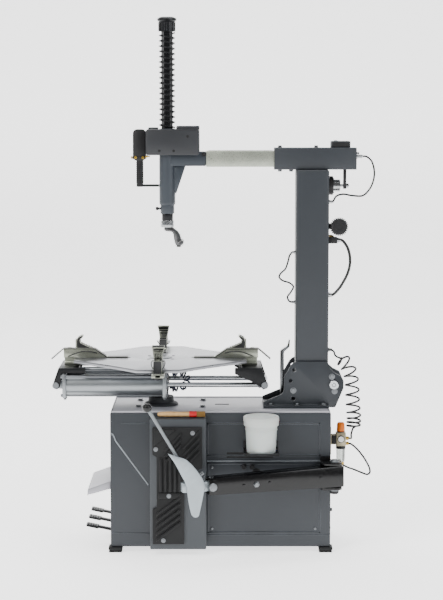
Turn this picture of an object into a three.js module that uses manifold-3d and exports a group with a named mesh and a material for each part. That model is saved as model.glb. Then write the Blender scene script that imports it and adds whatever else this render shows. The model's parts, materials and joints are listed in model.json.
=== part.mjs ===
// Tyre changer with a tilt-back column, a four-jaw turntable and a side bead breaker.
// Millimetres, +Z up. X runs from the pedals to the column, Y away from the bead breaker side.
// The model is laid out around the turntable's axis, with the floor at z = 0.
import * as THREE from 'three';
import { mergeVertices } from 'three/addons/utils/BufferGeometryUtils.js';
import Module from 'manifold-3d';

// ---- Driving dimensions -------------------------------------------------------------------------

const GAP = 0.3; // running gap between pieces that touch
const FIT = 0.4; // radial clearance of a pin or shaft in its bore

const CABINET_LEFT = -177;
const CABINET_WIDTH = 787;
const CABINET_DEPTH = 332;
const CABINET_TOP = 505;
const CABINET_SHEET = 3;
const FOOT_HEIGHT = 20;
const FOOT_SIZE = 50;
const FOOT_PROUD = 8; // how far a foot stands out past the cabinet's sides
const TRAY_THICKNESS = 4;

const PANEL_LEFT = -34;
const PANEL_WIDTH = 200;
const PANEL_DEPTH = 60;
const PANEL_DROP = 10; // panel's top below the cabinet's
const PANEL_BOTTOM = 24;
const PAD_THICKNESS = 22;

const PLATE_RISE = 177; // turntable's face above the cabinet
const PLATE_THICKNESS = 12;
const PLATE_REACH = 311; // from the axis to a cut-off corner
const PLATE_CORNER = 150; // width of a cut-off corner
const SLOT_WIDTH = 20; // radial slot that a jaw runs in
const SLOT_START = 118;
const SPINDLE_RADIUS = 30;
const HUB_RADIUS = 75;
const HUB_THICKNESS = 14;

const JAW_WIDTH = 26;
const JAW_OUTER = 353;
const JAW_INNER = 193;
const JAW_HEIGHT = 33;
const HOOK_HEIGHT = 49;
const HOOK_WIDTH = 46;
const RAMP_THICKNESS = 4;
const RAMP_TAIL = 73; // thin tail of the ramp towards the centre
const RAMP_LIP = 43; // sloping lip past the jaw's outer end
const SHOE_THICKNESS = 12;

const CYLINDER_SPACING = 160; // between the two clamping cylinders
const CYLINDER_DROP = 88; // cylinders' axis below the turntable's face
const CYLINDER_RADIUS = 37;
const CYLINDER_WALL = 3;
const CYLINDER_HEAD = 84; // square head plate
const CYLINDER_LEFT = -350;
const CYLINDER_RIGHT = 22;
const PISTON_ROD_RADIUS = 9;
const BRACKET_PIVOT = 375; // clevis pin to axis
const CHEEK_THICKNESS = 8;

const COLUMN_LEFT = 487;
const COLUMN_WIDTH = 118;
const COLUMN_DEPTH = 120;
const COLUMN_WALL = 6;
const COLUMN_RISE = 30; // column's lower end above the cabinet
const HOUSING_RISE = 860; // arm housing above the cabinet
const HOUSING_LEFT = 409;
const HOUSING_LENGTH = 295;
const HOUSING_WALL = 9;
const ARM_SECTION = 58;
const ARM_WALL = 5;
const ARM_TAIL = 150; // length of arm inside its housing
const TILT_OUT = 20; // tilt pin out from the column's right face
const TILT_RISE = 87.5; // tilt pin above the cabinet
const TILT_PIN_RADIUS = 12;
const SIDE_PLATE = 10;
const FLANGE = 10;

const HEAD_X = 25; // axis of the vertical shaft
const HEAD_LENGTH = 305;
const HEAD_STANDING = 146; // head's top above the arm housing's underside
const HEAD_WALL = 8;
const COVER_LEFT = -51;
const COVER_WIDTH = 192;
const COVER_DEPTH = 100;
const COVER_HEIGHT = 92.5;
const COVER_WALL = 4;
const SHAFT_RADIUS = 21; // across the corners of the hexagon
const SHAFT_BELOW_HEAD = 25;
const SPRING_TURNS = 18;
const SPRING_WIRE = 5.5;
const SPRING_LENGTH = 344;
const CAP_HEIGHT = 52;
const CAP_RADIUS = 31;

const BREAKER_HINGE_X = 620;
const BREAKER_HINGE_OUT = 49; // hinge pin in front of the cabinet
const BREAKER_ANGLE = 17; // degrees that the arm stands out from the cabinet
const BREAKER_LENGTH = 470;
const BREAKER_THICKNESS = 55;
const BREAKER_BOTTOM = 253;
const BREAKER_HEIGHT = 74;
const BREAKER_TIP_HEIGHT = 57;
const BREAKER_WALL = 5;
const BREAKER_PIN_RADIUS = 12;
const SWIVEL_PIN_RADIUS = 6;
const BREAKER_ROD_X = 345;
const BREAKER_ROD_RADIUS = 10;

const PEDAL_SPACING = 128;
const PEDAL_WIDTH = 46;
const PEDAL_AXLE_RADIUS = 8;
const PEDAL_AXLE_X = -112;
const PEDAL_AXLE_Z = 60;
const PEDAL_REACH = 154;
const PEDAL_SLOPE = 12; // degrees that a pedal rises outwards

const BUCKET_X = 360;
const BUCKET_RADIUS = 57;
const BUCKET_HEIGHT = 122;
const BUCKET_WALL = 2;
const LID_RADIUS = 63;
const LID_HEIGHT = 40;
const SHELF_Z = 374;
const SHELF_THICKNESS = 3.7;

// ---- Shapes -------------------------------------------------------------------------------------

const wasm = await Module();
wasm.setup();

const AXES = {
  x: new THREE.Matrix4().makeBasis(
    new THREE.Vector3(0, 1, 0), new THREE.Vector3(0, 0, 1), new THREE.Vector3(1, 0, 0)),
  y: new THREE.Matrix4().makeBasis(
    new THREE.Vector3(1, 0, 0), new THREE.Vector3(0, 0, 1), new THREE.Vector3(0, -1, 0)),
  z: new THREE.Matrix4(),
};

// A closed three.js geometry as a solid that can be joined and cut.
function solid(geometry) {
  const bare = geometry.index ? geometry.toNonIndexed() : geometry.clone();
  bare.deleteAttribute('normal');
  bare.deleteAttribute('uv');
  const merged = mergeVertices(bare, 1e-3);
  return new wasm.Manifold(new wasm.Mesh({
    numProp: 3,
    vertProperties: new Float32Array(merged.attributes.position.array),
    triVerts: new Uint32Array(merged.index.array),
  }));
}

function joined(...solids) {
  return solids.reduce((whole, next) => whole.add(next));
}

function block(x0, x1, y0, y1, z0, z1) {
  const geometry = new THREE.BoxGeometry(x1 - x0, y1 - y0, z1 - z0);
  geometry.translate((x0 + x1) / 2, (y0 + y1) / 2, (z0 + z1) / 2);
  return solid(geometry);
}

// A prism from an outline across the named axis: (y, z) for x, (x, z) for y, (x, y) for z.
function prism(axis, outline, from, to) {
  const shape = outline instanceof THREE.Shape ? outline : new THREE.Shape(
    outline.map(([u, v]) => new THREE.Vector2(u, v)));
  const geometry = new THREE.ExtrudeGeometry(
    shape, { depth: to - from, bevelEnabled: false, curveSegments: 5 });
  geometry.applyMatrix4(AXES[axis]);
  if (axis === 'x') geometry.translate(from, 0, 0);
  if (axis === 'y') geometry.translate(0, to, 0);
  if (axis === 'z') geometry.translate(0, 0, from);
  return solid(geometry);
}

// A round bar along the named axis through (u, v), the other two coordinates in X, Y, Z order.
function bar(axis, u, v, radius, from, to, sides = 20) {
  const geometry = new THREE.CylinderGeometry(radius, radius, to - from, sides);
  const middle = (from + to) / 2;
  if (axis === 'x') geometry.rotateZ(Math.PI / 2).translate(middle, u, v);
  if (axis === 'y') geometry.translate(u, middle, v);
  if (axis === 'z') geometry.rotateX(Math.PI / 2).translate(u, v, middle);
  return solid(geometry);
}

// A turned piece standing on (x, y), from pairs of radius and height that start and end on the axis.
function turned(x, y, profile, sides = 24) {
  const geometry = new THREE.LatheGeometry(
    profile.map(([radius, z]) => new THREE.Vector2(radius, z)), sides);
  return solid(geometry.rotateX(Math.PI / 2).translate(x, y, 0));
}

function ball(x, y, z, radius, sides = 16) {
  return solid(new THREE.SphereGeometry(radius, sides, sides / 2).translate(x, y, z));
}

// An outline whose corners are eased by short curves.
function eased(points, radius) {
  const shape = new THREE.Shape();
  points.forEach(([x, y], i) => {
    const corner = new THREE.Vector2(x, y);
    const before = new THREE.Vector2(...points.at(i - 1)).sub(corner).setLength(radius).add(corner);
    const after = new THREE.Vector2(...points[(i + 1) % points.length])
      .sub(corner).setLength(radius).add(corner);
    if (i === 0) shape.moveTo(before.x, before.y);
    else shape.lineTo(before.x, before.y);
    shape.quadraticCurveTo(x, y, after.x, after.y);
  });
  shape.closePath();
  return shape;
}

// A tube through hand-chosen points.
function tube(points, radius, steps, sides = 8) {
  const path = new THREE.CatmullRomCurve3(points.map((p) => new THREE.Vector3(...p)), false, 'centripetal');
  const section = new THREE.Shape();
  for (let i = 0; i < sides; i += 1) {
    const angle = (i / sides) * 2 * Math.PI;
    const point = [radius * Math.cos(angle), radius * Math.sin(angle)];
    if (i === 0) section.moveTo(...point);
    else section.lineTo(...point);
  }
  section.closePath();
  return solid(new THREE.ExtrudeGeometry(section, { steps, extrudePath: path, bevelEnabled: false }));
}

const SLATE = { color: 0x4d565f, roughness: 0.55, metalness: 0.2 };
const PANEL_GREY = { color: 0x6b747b, roughness: 0.6, metalness: 0.2 };
const TRAY_GREY = { color: 0xb4b3b8, roughness: 0.5, metalness: 0.3 };
const RUBBER = { color: 0x1f2023, roughness: 0.9, metalness: 0 };
const PLASTIC = { color: 0x45484e, roughness: 0.6, metalness: 0 };
const BLACK_STEEL = { color: 0x2b2b2e, roughness: 0.5, metalness: 0.4 };
const GLOSS_BLACK = { color: 0x0a0a0b, roughness: 0.2, metalness: 0.1 };
const PLATE_STEEL = { color: 0xc4c4c8, roughness: 0.35, metalness: 0.9 };
const ZINC = { color: 0xc9ccbf, roughness: 0.4, metalness: 0.8 };
const ALUMINIUM = { color: 0xb8bcc0, roughness: 0.35, metalness: 0.9 };
const CHROME = { color: 0xd8dadc, roughness: 0.12, metalness: 1 };
const HOSE_BLACK = { color: 0x3a3b3d, roughness: 0.5, metalness: 0 };
const WHITE_PLASTIC = { color: 0xf4f4f0, roughness: 0.5, metalness: 0 };
const WOOD = { color: 0xd8b98a, roughness: 0.6, metalness: 0 };
const BELT_RUBBER = { color: 0x26262a, roughness: 0.8, metalness: 0 };
const CAST_IRON = { color: 0x4a4d50, roughness: 0.7, metalness: 0.5 };

const machine = new THREE.Group();

function piece(name, shape, finish, parent = machine) {
  const mesh = shape.getMesh();
  const geometry = new THREE.BufferGeometry();
  const corners = new Float32Array(mesh.vertProperties);
  geometry.setAttribute('position', new THREE.BufferAttribute(corners, 3));
  geometry.setIndex(new THREE.BufferAttribute(new Uint32Array(mesh.triVerts), 1));
  geometry.computeVertexNormals();
  const part = new THREE.Mesh(geometry, new THREE.MeshStandardMaterial(finish));
  part.name = name;
  parent.add(part);
  return part;
}

// ---- Cabinet, tray and feet ---------------------------------------------------------------------

const cabinetRight = CABINET_LEFT + CABINET_WIDTH;
const cabinetFront = -CABINET_DEPTH / 2;
const cabinetBack = CABINET_DEPTH / 2;
const panelTop = CABINET_TOP - PANEL_DROP;
const plateTop = CABINET_TOP + PLATE_RISE;
const cylinderZ = plateTop - CYLINDER_DROP;
const columnBottom = CABINET_TOP + COLUMN_RISE;
const housingBottom = CABINET_TOP + HOUSING_RISE;
const tiltX = COLUMN_LEFT + COLUMN_WIDTH + TILT_OUT;
const tiltZ = CABINET_TOP + TILT_RISE;
const headTop = housingBottom + HEAD_STANDING;
const headBottom = headTop - HEAD_LENGTH;
const headRadius = SHAFT_RADIUS + HEAD_WALL;
const shaftBottom = headBottom - SHAFT_BELOW_HEAD;
const hingeY = cabinetFront - BREAKER_HINGE_OUT;
const turretHole = 50;
const breakerRodZ = BREAKER_BOTTOM + BREAKER_TIP_HEIGHT / 2 + 8;
const pedalYs = [-1, 0, 1].map((i) => 8 + i * PEDAL_SPACING);
const pedalSlope = THREE.MathUtils.degToRad(PEDAL_SLOPE);
const wallRise = (PEDAL_AXLE_X - CABINET_LEFT) * Math.tan(pedalSlope);

let cabinet = block(CABINET_LEFT, cabinetRight, cabinetFront, cabinetBack, FOOT_HEIGHT, CABINET_TOP)
  .subtract(block(
    CABINET_LEFT + CABINET_SHEET, cabinetRight - CABINET_SHEET,
    cabinetFront + CABINET_SHEET, cabinetBack - CABINET_SHEET,
    FOOT_HEIGHT - 1, CABINET_TOP - CABINET_SHEET))
  .subtract(bar('z', 0, 0, turretHole, CABINET_TOP - 10, CABINET_TOP + 10, 32))
  .subtract(block(
    BREAKER_ROD_X - 105, BREAKER_ROD_X + 60, cabinetFront - 5, cabinetFront + 5,
    SHELF_Z - 31, SHELF_Z - 10))
  .subtract(bar(
    'y', BREAKER_ROD_X, breakerRodZ, BREAKER_ROD_RADIUS + 6, cabinetFront - 5, cabinetFront + 5));
for (const y of pedalYs) {
  cabinet = cabinet.subtract(block(
    CABINET_LEFT - 5, CABINET_LEFT + 5, y - 18, y + 18,
    PEDAL_AXLE_Z + wallRise - 28, PEDAL_AXLE_Z + wallRise + 26));
}
// The pedals' axle is welded between the front and back walls.
cabinet = cabinet.add(bar(
  'y', PEDAL_AXLE_X, PEDAL_AXLE_Z, PEDAL_AXLE_RADIUS,
  cabinetFront + CABINET_SHEET / 2, cabinetBack - CABINET_SHEET / 2, 16));
piece('cabinet', cabinet, SLATE);

const trayBottom = CABINET_TOP + GAP;
const trayTop = trayBottom + TRAY_THICKNESS;
const trayInset = 3;
let tray = block(
  CABINET_LEFT + trayInset, cabinetRight - trayInset, cabinetFront + trayInset, cabinetBack - trayInset,
  trayBottom, trayTop).subtract(bar('z', 0, 0, turretHole, trayBottom - 5, trayTop + 5, 32));
for (const [x, y] of [[-80, 92], [-80, -54], [152, 92], [152, -54]]) {
  tray = tray.subtract(bar('z', x, y, 9, trayBottom - 5, trayTop + 5, 12));
}
tray = tray.subtract(block(200, 244, -6, 6, trayBottom - 5, trayTop + 5));
piece('top_tray', tray, TRAY_GREY);

for (const [side, x] of [
  ['left', CABINET_LEFT - FOOT_PROUD], ['right', cabinetRight + FOOT_PROUD - FOOT_SIZE]]) {
  for (const [end, y] of [
    ['front', cabinetFront - FOOT_PROUD], ['rear', cabinetBack + FOOT_PROUD - FOOT_SIZE]]) {
    const foot = block(x, x + FOOT_SIZE, y, y + FOOT_SIZE, 0, FOOT_HEIGHT - GAP);
    piece(`foot_${end}_${side}`, foot, RUBBER);
  }
}

// ---- Bead-breaker wall: raised panel and rubber pad ---------------------------------------------

const panelBack = cabinetFront - GAP;
const panelFront = panelBack - PANEL_DEPTH;
const panelRight = PANEL_LEFT + PANEL_WIDTH;
const panelSheet = 3;
const panel = block(PANEL_LEFT, panelRight, panelFront, panelBack, PANEL_BOTTOM, panelTop)
  .subtract(block(
    PANEL_LEFT + panelSheet, panelRight - panelSheet, panelFront + panelSheet, panelBack + 1,
    PANEL_BOTTOM + panelSheet, panelTop - panelSheet));
piece('pad_panel', panel, PANEL_GREY);

const padOutline = [
  [PANEL_LEFT + 10, PANEL_BOTTOM + 22], [panelRight - 78, PANEL_BOTTOM + 22],
  [panelRight - 78, panelTop - 197], [panelRight - 14, panelTop - 177],
  [panelRight - 14, panelTop - 29], [PANEL_LEFT + 10, panelTop - 29],
  [PANEL_LEFT + 10, panelTop - 127], [PANEL_LEFT + 25, panelTop - 135],
  [PANEL_LEFT + 25, PANEL_BOTTOM + 156], [PANEL_LEFT + 10, PANEL_BOTTOM + 148]];
piece('rubber_pad', prism(
  'y', padOutline, panelFront - GAP - PAD_THICKNESS, panelFront - GAP), RUBBER);

// ---- Pedals and their hood ----------------------------------------------------------------------

const hoodWall = CABINET_LEFT - GAP;
const hoodReach = 82;
const hoodSheet = 3;
const hoodTop = 256;
const hoodLip = 226;
piece('pedal_hood', prism('y', [
  [hoodWall, hoodTop - 30], [hoodWall, hoodTop], [hoodWall - hoodReach, hoodLip],
  [hoodWall - hoodReach - 2, hoodLip - 22], [hoodWall - hoodReach + 1, hoodLip - 22],
  [hoodWall - hoodReach + hoodSheet, hoodLip - hoodSheet],
  [hoodWall - hoodSheet, hoodTop - 5], [hoodWall - hoodSheet, hoodTop - 30]], -150, 150), TRAY_GREY);

const pedalNames = ['pedal_tilt', 'pedal_clamp', 'pedal_rotate'];
pedalNames.forEach((name, i) => {
  const lever = new THREE.Group();
  lever.position.set(PEDAL_AXLE_X, pedalYs[i], PEDAL_AXLE_Z);
  lever.rotation.y = pedalSlope;
  machine.add(lever);
  const hub = 14;
  const tread = 42;
  const shape = joined(
    bar('y', 0, 0, hub, -14, 14),
    block(-PEDAL_REACH + tread - 4, 0, -11, 11, -4, 4),
    prism('z', eased([
      [-PEDAL_REACH - 4, -PEDAL_WIDTH / 2], [-PEDAL_REACH + tread, -PEDAL_WIDTH / 2],
      [-PEDAL_REACH + tread, PEDAL_WIDTH / 2], [-PEDAL_REACH - 4, PEDAL_WIDTH / 2]], 8), -4, 4),
  ).subtract(bar('y', 0, 0, PEDAL_AXLE_RADIUS + FIT, -20, 20, 16));
  piece(name, shape, BLACK_STEEL, lever);
});

// ---- Motor, belt and gearbox inside the cabinet -------------------------------------------------

const ceiling = CABINET_TOP - CABINET_SHEET - GAP;
const gearboxBottom = ceiling - 161.7;
const turretTop = CABINET_TOP + 35;
const wormX = 58;
const wormShaft = 14;
const motorShaft = 10;
const wormZ = gearboxBottom + 60;
const motorX = 200;
const motorZ = gearboxBottom - 10;
const beltY = -102;
const beltWidth = 12;
const beltThickness = 6;
const wheelRadius = 60;
const drivenRadius = 32;
const gearboxFront = -78;
const motorRadius = 72;

const gearbox = joined(
  block(-80, 80, gearboxFront, 78, gearboxBottom, ceiling - 14),
  block(-98, 98, -90, 90, ceiling - 14, ceiling),
  bar('z', 0, 0, turretHole - 6, ceiling - 10, turretTop, 28),
  bar('y', wormX, wormZ, wormShaft, beltY - beltWidth / 2 - 6, gearboxFront + 5, 28),
).subtract(bar('z', 0, 0, SPINDLE_RADIUS + FIT, gearboxBottom + 20, turretTop + 5, 24));
piece('gearbox', gearbox, CAST_IRON);

function pulley(x, z, radius, bore) {
  const half = beltWidth / 2;
  return joined(
    bar('y', x, z, radius, beltY - half, beltY + half, 28),
    bar('y', x, z, radius + 5, beltY - half - 4, beltY - half, 28),
    bar('y', x, z, radius + 5, beltY + half, beltY + half + 4, 28),
  ).subtract(bar('y', x, z, bore + FIT, beltY - 20, beltY + 20, 28));
}
piece('gearbox_pulley', pulley(wormX, wormZ, wheelRadius, wormShaft), CAST_IRON);
piece('motor_pulley', pulley(motorX, motorZ, drivenRadius, motorShaft), CAST_IRON);

const motor = joined(
  bar('y', motorX, motorZ, motorRadius, -78, 120, 28),
  bar('y', motorX, motorZ, motorShaft, beltY - beltWidth / 2 - 6, -70, 28),
  block(motorX - 60, motorX + 60, -50, 90, motorZ + motorRadius - 20, motorZ + motorRadius + 4),
  block(motorX - 60, motorX - 52, -50, 90, motorZ + motorRadius, ceiling),
  block(motorX + 52, motorX + 60, -50, 90, motorZ + motorRadius, ceiling));
piece('motor', motor, ALUMINIUM);

// The belt wraps both pulleys: two arcs and the two straight runs that touch them.
function beltLoop(grow) {
  const away = new THREE.Vector2(motorX - wormX, motorZ - wormZ);
  const heading = away.angle();
  const r1 = wheelRadius + grow;
  const r2 = drivenRadius + grow;
  const spread = Math.acos((r1 - r2) / away.length());
  const loop = new THREE.Shape();
  loop.absarc(wormX, wormZ, r1, heading + spread, heading + 2 * Math.PI - spread, false);
  loop.absarc(motorX, motorZ, r2, heading - spread, heading + spread, false);
  loop.closePath();
  return loop;
}
const beltRun = new THREE.Shape(beltLoop(GAP + beltThickness).getPoints(10));
beltRun.holes.push(new THREE.Path(beltLoop(GAP).getPoints(10)));
piece('drive_belt', prism(
  'y', beltRun, beltY - beltWidth / 2 + GAP, beltY + beltWidth / 2 - GAP), BELT_RUBBER);

// ---- Turntable ----------------------------------------------------------------------------------

const plateBottom = plateTop - PLATE_THICKNESS;
const halfCorner = PLATE_CORNER / 2;
const plateShape = new THREE.Shape();
plateShape.moveTo(PLATE_REACH, -halfCorner);
for (let i = 0; i < 4; i += 1) {
  const turn = (i * Math.PI) / 2;
  const spun = (x, y) => new THREE.Vector2(x, y).rotateAround(new THREE.Vector2(), turn);
  const flat = spun(PLATE_REACH, halfCorner);
  const waist = spun((PLATE_REACH + halfCorner) / 2 - 12, (PLATE_REACH + halfCorner) / 2 - 12);
  const next = spun(halfCorner, PLATE_REACH);
  plateShape.lineTo(flat.x, flat.y);
  plateShape.quadraticCurveTo(waist.x, waist.y, next.x, next.y);
}
let plate = prism('z', plateShape, plateBottom, plateTop);
for (let i = 0; i < 4; i += 1) {
  const slot = block(
    SLOT_START, PLATE_REACH + 20, -SLOT_WIDTH / 2, SLOT_WIDTH / 2, plateBottom - 5, plateTop + 5);
  plate = plate.subtract(slot.rotate([0, 0, i * 90]));
}
piece('turntable_plate', plate, PLATE_STEEL);

const spindle = joined(
  bar('z', 0, 0, SPINDLE_RADIUS, gearboxBottom + 20 + GAP, plateBottom - GAP, 24),
  bar('z', 0, 0, HUB_RADIUS, plateBottom - GAP - HUB_THICKNESS, plateBottom - GAP, 28));
piece('spindle', spindle, BLACK_STEEL);

// Jaws, drawn along +X and turned to their place: slide, ramp, hook, neck in the slot and shoe.
const jawBottom = plateTop + GAP;
const jawTop = jawBottom + JAW_HEIGHT;
const shoeTop = plateBottom - GAP;
const shoeBottom = shoeTop - SHOE_THICKNESS;
const shoeInner = JAW_INNER + 47;
const shoeOuter = JAW_OUTER - 3;
const rampRun = 48; // length of the ramp's inner slope

const jawSlide = prism('y', [
  [JAW_INNER, jawBottom], [JAW_OUTER, jawBottom], [JAW_OUTER, jawTop],
  [JAW_INNER + rampRun, jawTop], [JAW_INNER, jawBottom + 4]], -JAW_WIDTH / 2, JAW_WIDTH / 2);
const ramp = prism('y', [
  [JAW_INNER - RAMP_TAIL, jawBottom], [JAW_INNER + 3, jawBottom], [JAW_INNER + rampRun, jawTop - 2],
  [JAW_OUTER, jawTop - 2], [JAW_OUTER + RAMP_LIP, jawBottom - 6],
  [JAW_OUTER + RAMP_LIP + 3, jawBottom - 3], [JAW_OUTER + 1, jawTop + RAMP_THICKNESS - 2],
  [JAW_INNER + rampRun - 1, jawTop + RAMP_THICKNESS - 2], [JAW_INNER + 1, jawBottom + RAMP_THICKNESS],
  [JAW_INNER - RAMP_TAIL, jawBottom + RAMP_THICKNESS]], -JAW_WIDTH / 2 - 2, JAW_WIDTH / 2 + 2);
const hookBase = JAW_OUTER - 47;
const hookFoot = jawTop + RAMP_THICKNESS - 3;
const hook = prism('y', [
  [hookBase - 62, hookFoot], [hookBase, hookFoot], [hookBase + 2, hookFoot + 25],
  [hookBase - 4, hookFoot + 41], [hookBase - 21, hookFoot + HOOK_HEIGHT],
  [hookBase - 25, hookFoot + 44], [hookBase - 13, hookFoot + 32], [hookBase - 15, hookFoot + 22],
  [hookBase - 36, hookFoot + 11]], -HOOK_WIDTH / 2, HOOK_WIDTH / 2)
  .subtract(prism('x', [
    [JAW_WIDTH / 2, hookFoot - 5], [HOOK_WIDTH, hookFoot - 5], [HOOK_WIDTH, hookFoot + 34],
    [HOOK_WIDTH / 2, hookFoot + 34]], hookBase - 80, hookBase + 20))
  .subtract(prism('x', [
    [-JAW_WIDTH / 2, hookFoot - 5], [-HOOK_WIDTH / 2, hookFoot + 34], [-HOOK_WIDTH, hookFoot + 34],
    [-HOOK_WIDTH, hookFoot - 5]], hookBase - 80, hookBase + 20));
const neckHalf = SLOT_WIDTH / 2 - 1;
const jawShape = joined(
  jawSlide, ramp, hook,
  block(shoeInner, shoeOuter, -neckHalf, neckHalf, shoeBottom, jawBottom + 2),
  block(shoeInner, shoeOuter, -22, 22, shoeBottom, shoeTop));
const jawTurns = { jaw_right: 0, jaw_rear: 90, jaw_left: 180, jaw_front: 270 };
for (const [name, turn] of Object.entries(jawTurns)) {
  piece(name, jawShape.rotate([0, 0, turn]), BLACK_STEEL);
}

// ---- Clamping cylinders under the turntable -----------------------------------------------------

const cheekInner = CYLINDER_SPACING / 2 + 13;
const cheekOuter = cheekInner + CHEEK_THICKNESS;
const crossTop = shoeBottom - GAP;
const crossThickness = 12;
const clevisPin = 8;

// A cheek comes down outside its cylinder's end, so the left one steps clear of the square heads.
const cheekFoot = [
  [JAW_OUTER + 12, crossTop], [BRACKET_PIVOT + 10, cylinderZ + 6], [BRACKET_PIVOT + 8, cylinderZ - 11],
  [BRACKET_PIVOT - 5, cylinderZ - 15], [BRACKET_PIVOT - 15, cylinderZ - 6]];
const rodCheek = [
  [JAW_OUTER - 85, crossTop - 22], [JAW_OUTER - 85, crossTop], ...cheekFoot,
  [JAW_OUTER - 28, crossTop - 48]];
const headClear = cylinderZ + CYLINDER_HEAD / 2 + 2;
const barrelCheek = [
  [JAW_OUTER - 85, headClear], [JAW_OUTER - 85, crossTop], ...cheekFoot, [-CYLINDER_LEFT + 2, headClear]];

function endBracket(cheekOutline) {
  let bracket = block(
    JAW_OUTER - 60, JAW_OUTER + 12, -cheekInner - 1, cheekInner + 1, crossTop - crossThickness, crossTop);
  for (const side of [-1, 1]) {
    const [near, far] = side < 0 ? [-cheekOuter, -cheekInner] : [cheekInner, cheekOuter];
    const [tip, root] = side < 0 ? [-cheekInner - 2, -cheekInner + 26] : [cheekInner - 26, cheekInner + 2];
    bracket = joined(
      bracket, prism('y', cheekOutline, near, far),
      bar('y', BRACKET_PIVOT, cylinderZ, clevisPin, tip, root, 12));
  }
  return bracket;
}
piece('end_bracket_right', endBracket(rodCheek), BLACK_STEEL);
piece('end_bracket_left', endBracket(barrelCheek).rotate([0, 0, 180]), BLACK_STEEL);

const headHalf = CYLINDER_HEAD / 2;
const headPlate = 13;
const tieOffset = headHalf - 8;
for (const [name, y] of [
  ['front', -CYLINDER_SPACING / 2], ['rear', CYLINDER_SPACING / 2]]) {
  let barrel = joined(
    bar('x', y, cylinderZ, CYLINDER_RADIUS, CYLINDER_LEFT + 2, CYLINDER_RIGHT - 2, 32),
    block(CYLINDER_LEFT, CYLINDER_LEFT + headPlate, y - headHalf, y + headHalf,
      cylinderZ - headHalf, cylinderZ + headHalf),
    block(CYLINDER_RIGHT - headPlate, CYLINDER_RIGHT, y - headHalf, y + headHalf,
      cylinderZ - headHalf, cylinderZ + headHalf),
    prism('y', [
      [CYLINDER_LEFT + 2, cylinderZ - 14], [CYLINDER_LEFT + 2, cylinderZ + 14],
      [-BRACKET_PIVOT - 8, cylinderZ + 12], [-BRACKET_PIVOT - 12, cylinderZ],
      [-BRACKET_PIVOT - 8, cylinderZ - 12]], y - 11, y + 11));
  for (const [dy, dz] of [[-1, -1], [-1, 1], [1, -1], [1, 1]]) {
    barrel = barrel.add(bar(
      'x', y + dy * tieOffset, cylinderZ + dz * tieOffset, 4,
      CYLINDER_LEFT + 1, CYLINDER_RIGHT - 1, 8));
  }
  barrel = barrel
    .subtract(bar('x', y, cylinderZ, CYLINDER_RADIUS - CYLINDER_WALL,
      CYLINDER_LEFT + headPlate, CYLINDER_RIGHT - headPlate, 32))
    .subtract(bar('x', y, cylinderZ, PISTON_ROD_RADIUS + FIT, CYLINDER_RIGHT - 40, CYLINDER_RIGHT + 5, 16))
    .subtract(bar('y', -BRACKET_PIVOT, cylinderZ, clevisPin + FIT, y - 30, y + 30, 14));
  piece(`air_cylinder_${name}`, barrel, ALUMINIUM);

  const pistonX = CYLINDER_RIGHT - 60;
  const pistonRod = joined(
    bar('x', y, cylinderZ, PISTON_ROD_RADIUS, pistonX - 5, BRACKET_PIVOT, 16),
    bar('x', y, cylinderZ, CYLINDER_RADIUS - CYLINDER_WALL - FIT, pistonX - 20, pistonX, 24),
    bar('y', BRACKET_PIVOT, cylinderZ, 14, y - 11, y + 11, 20),
  ).subtract(bar('y', BRACKET_PIVOT, cylinderZ, clevisPin + FIT, y - 30, y + 30, 14));
  piece(`piston_rod_${name}`, pistonRod, CHROME);
}

// Curly air hose between the spindle and the cylinders, as one tube of its outer diameter.
const tableHoseRadius = 15;
piece('table_hose', tube([
  [SPINDLE_RADIUS + 0.8, 0, 570], [50, 0, 570], [82, 0, 577], [97, 0, 598], [82, 0, 620], [50, 0, 627],
  [SPINDLE_RADIUS + 0.8, 0, 627]], tableHoseRadius, 18), HOSE_BLACK);

// ---- Column foot: bracket and tilt pin ----------------------------------------------------------

const flangeBottom = trayTop + GAP;
const flangeTop = flangeBottom + FLANGE;
const plateInner = COLUMN_DEPTH / 2 + 1.7;
const plateOuter = plateInner + SIDE_PLATE;
const bracketLeft = COLUMN_LEFT - 116;
const bracketOutline = [
  [bracketLeft, flangeBottom], [bracketLeft, flangeBottom + 20.4], [COLUMN_LEFT - 53, tiltZ - 36.5],
  [COLUMN_LEFT - 42, tiltZ - 18.5], [COLUMN_LEFT - 42, tiltZ + 26.5], [COLUMN_LEFT - 17, tiltZ + 70.5],
  [COLUMN_LEFT + 2, tiltZ + 83.5], [tiltX - 22, tiltZ + 83.5], [tiltX - 13, tiltZ + 57.5],
  [tiltX + 4, tiltZ + 41.5], [tiltX + 28, tiltZ + 30.5], [tiltX + 36, tiltZ + 12.5],
  [tiltX + 35, tiltZ - 13.5], [tiltX + 7, flangeBottom + 2.4], [tiltX + 1, flangeBottom]];
let columnBracket = joined(
  prism('y', bracketOutline, -plateOuter, -plateInner),
  prism('y', bracketOutline, plateInner, plateOuter),
  block(bracketLeft, tiltX - 17, -plateOuter - 22, plateOuter + 22, flangeBottom, flangeTop));
const fixingHole = 7.5;
for (const [x, z, radius] of [
  [COLUMN_LEFT - 5, tiltZ + 53.5, fixingHole], [COLUMN_LEFT - 18, tiltZ + 13.5, fixingHole],
  [COLUMN_LEFT - 8, tiltZ - 51.5, fixingHole],
  [tiltX, tiltZ, TILT_PIN_RADIUS + FIT]]) {
  columnBracket = columnBracket.subtract(bar('y', x, z, radius, -plateOuter - 5, plateOuter + 5, 14));
}
piece('column_bracket', columnBracket, SLATE);

const pinHead = 17;
const pinEnd = plateOuter + GAP;
piece('tilt_pin', joined(
  bar('y', tiltX, tiltZ, TILT_PIN_RADIUS, -pinEnd - 1, pinEnd + 1, 16),
  bar('y', tiltX, tiltZ, pinHead, -pinEnd - 7, -pinEnd, 20),
  bar('y', tiltX, tiltZ, pinHead, pinEnd, pinEnd + 7, 20)), CHROME);

// ---- Column -------------------------------------------------------------------------------------

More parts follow.
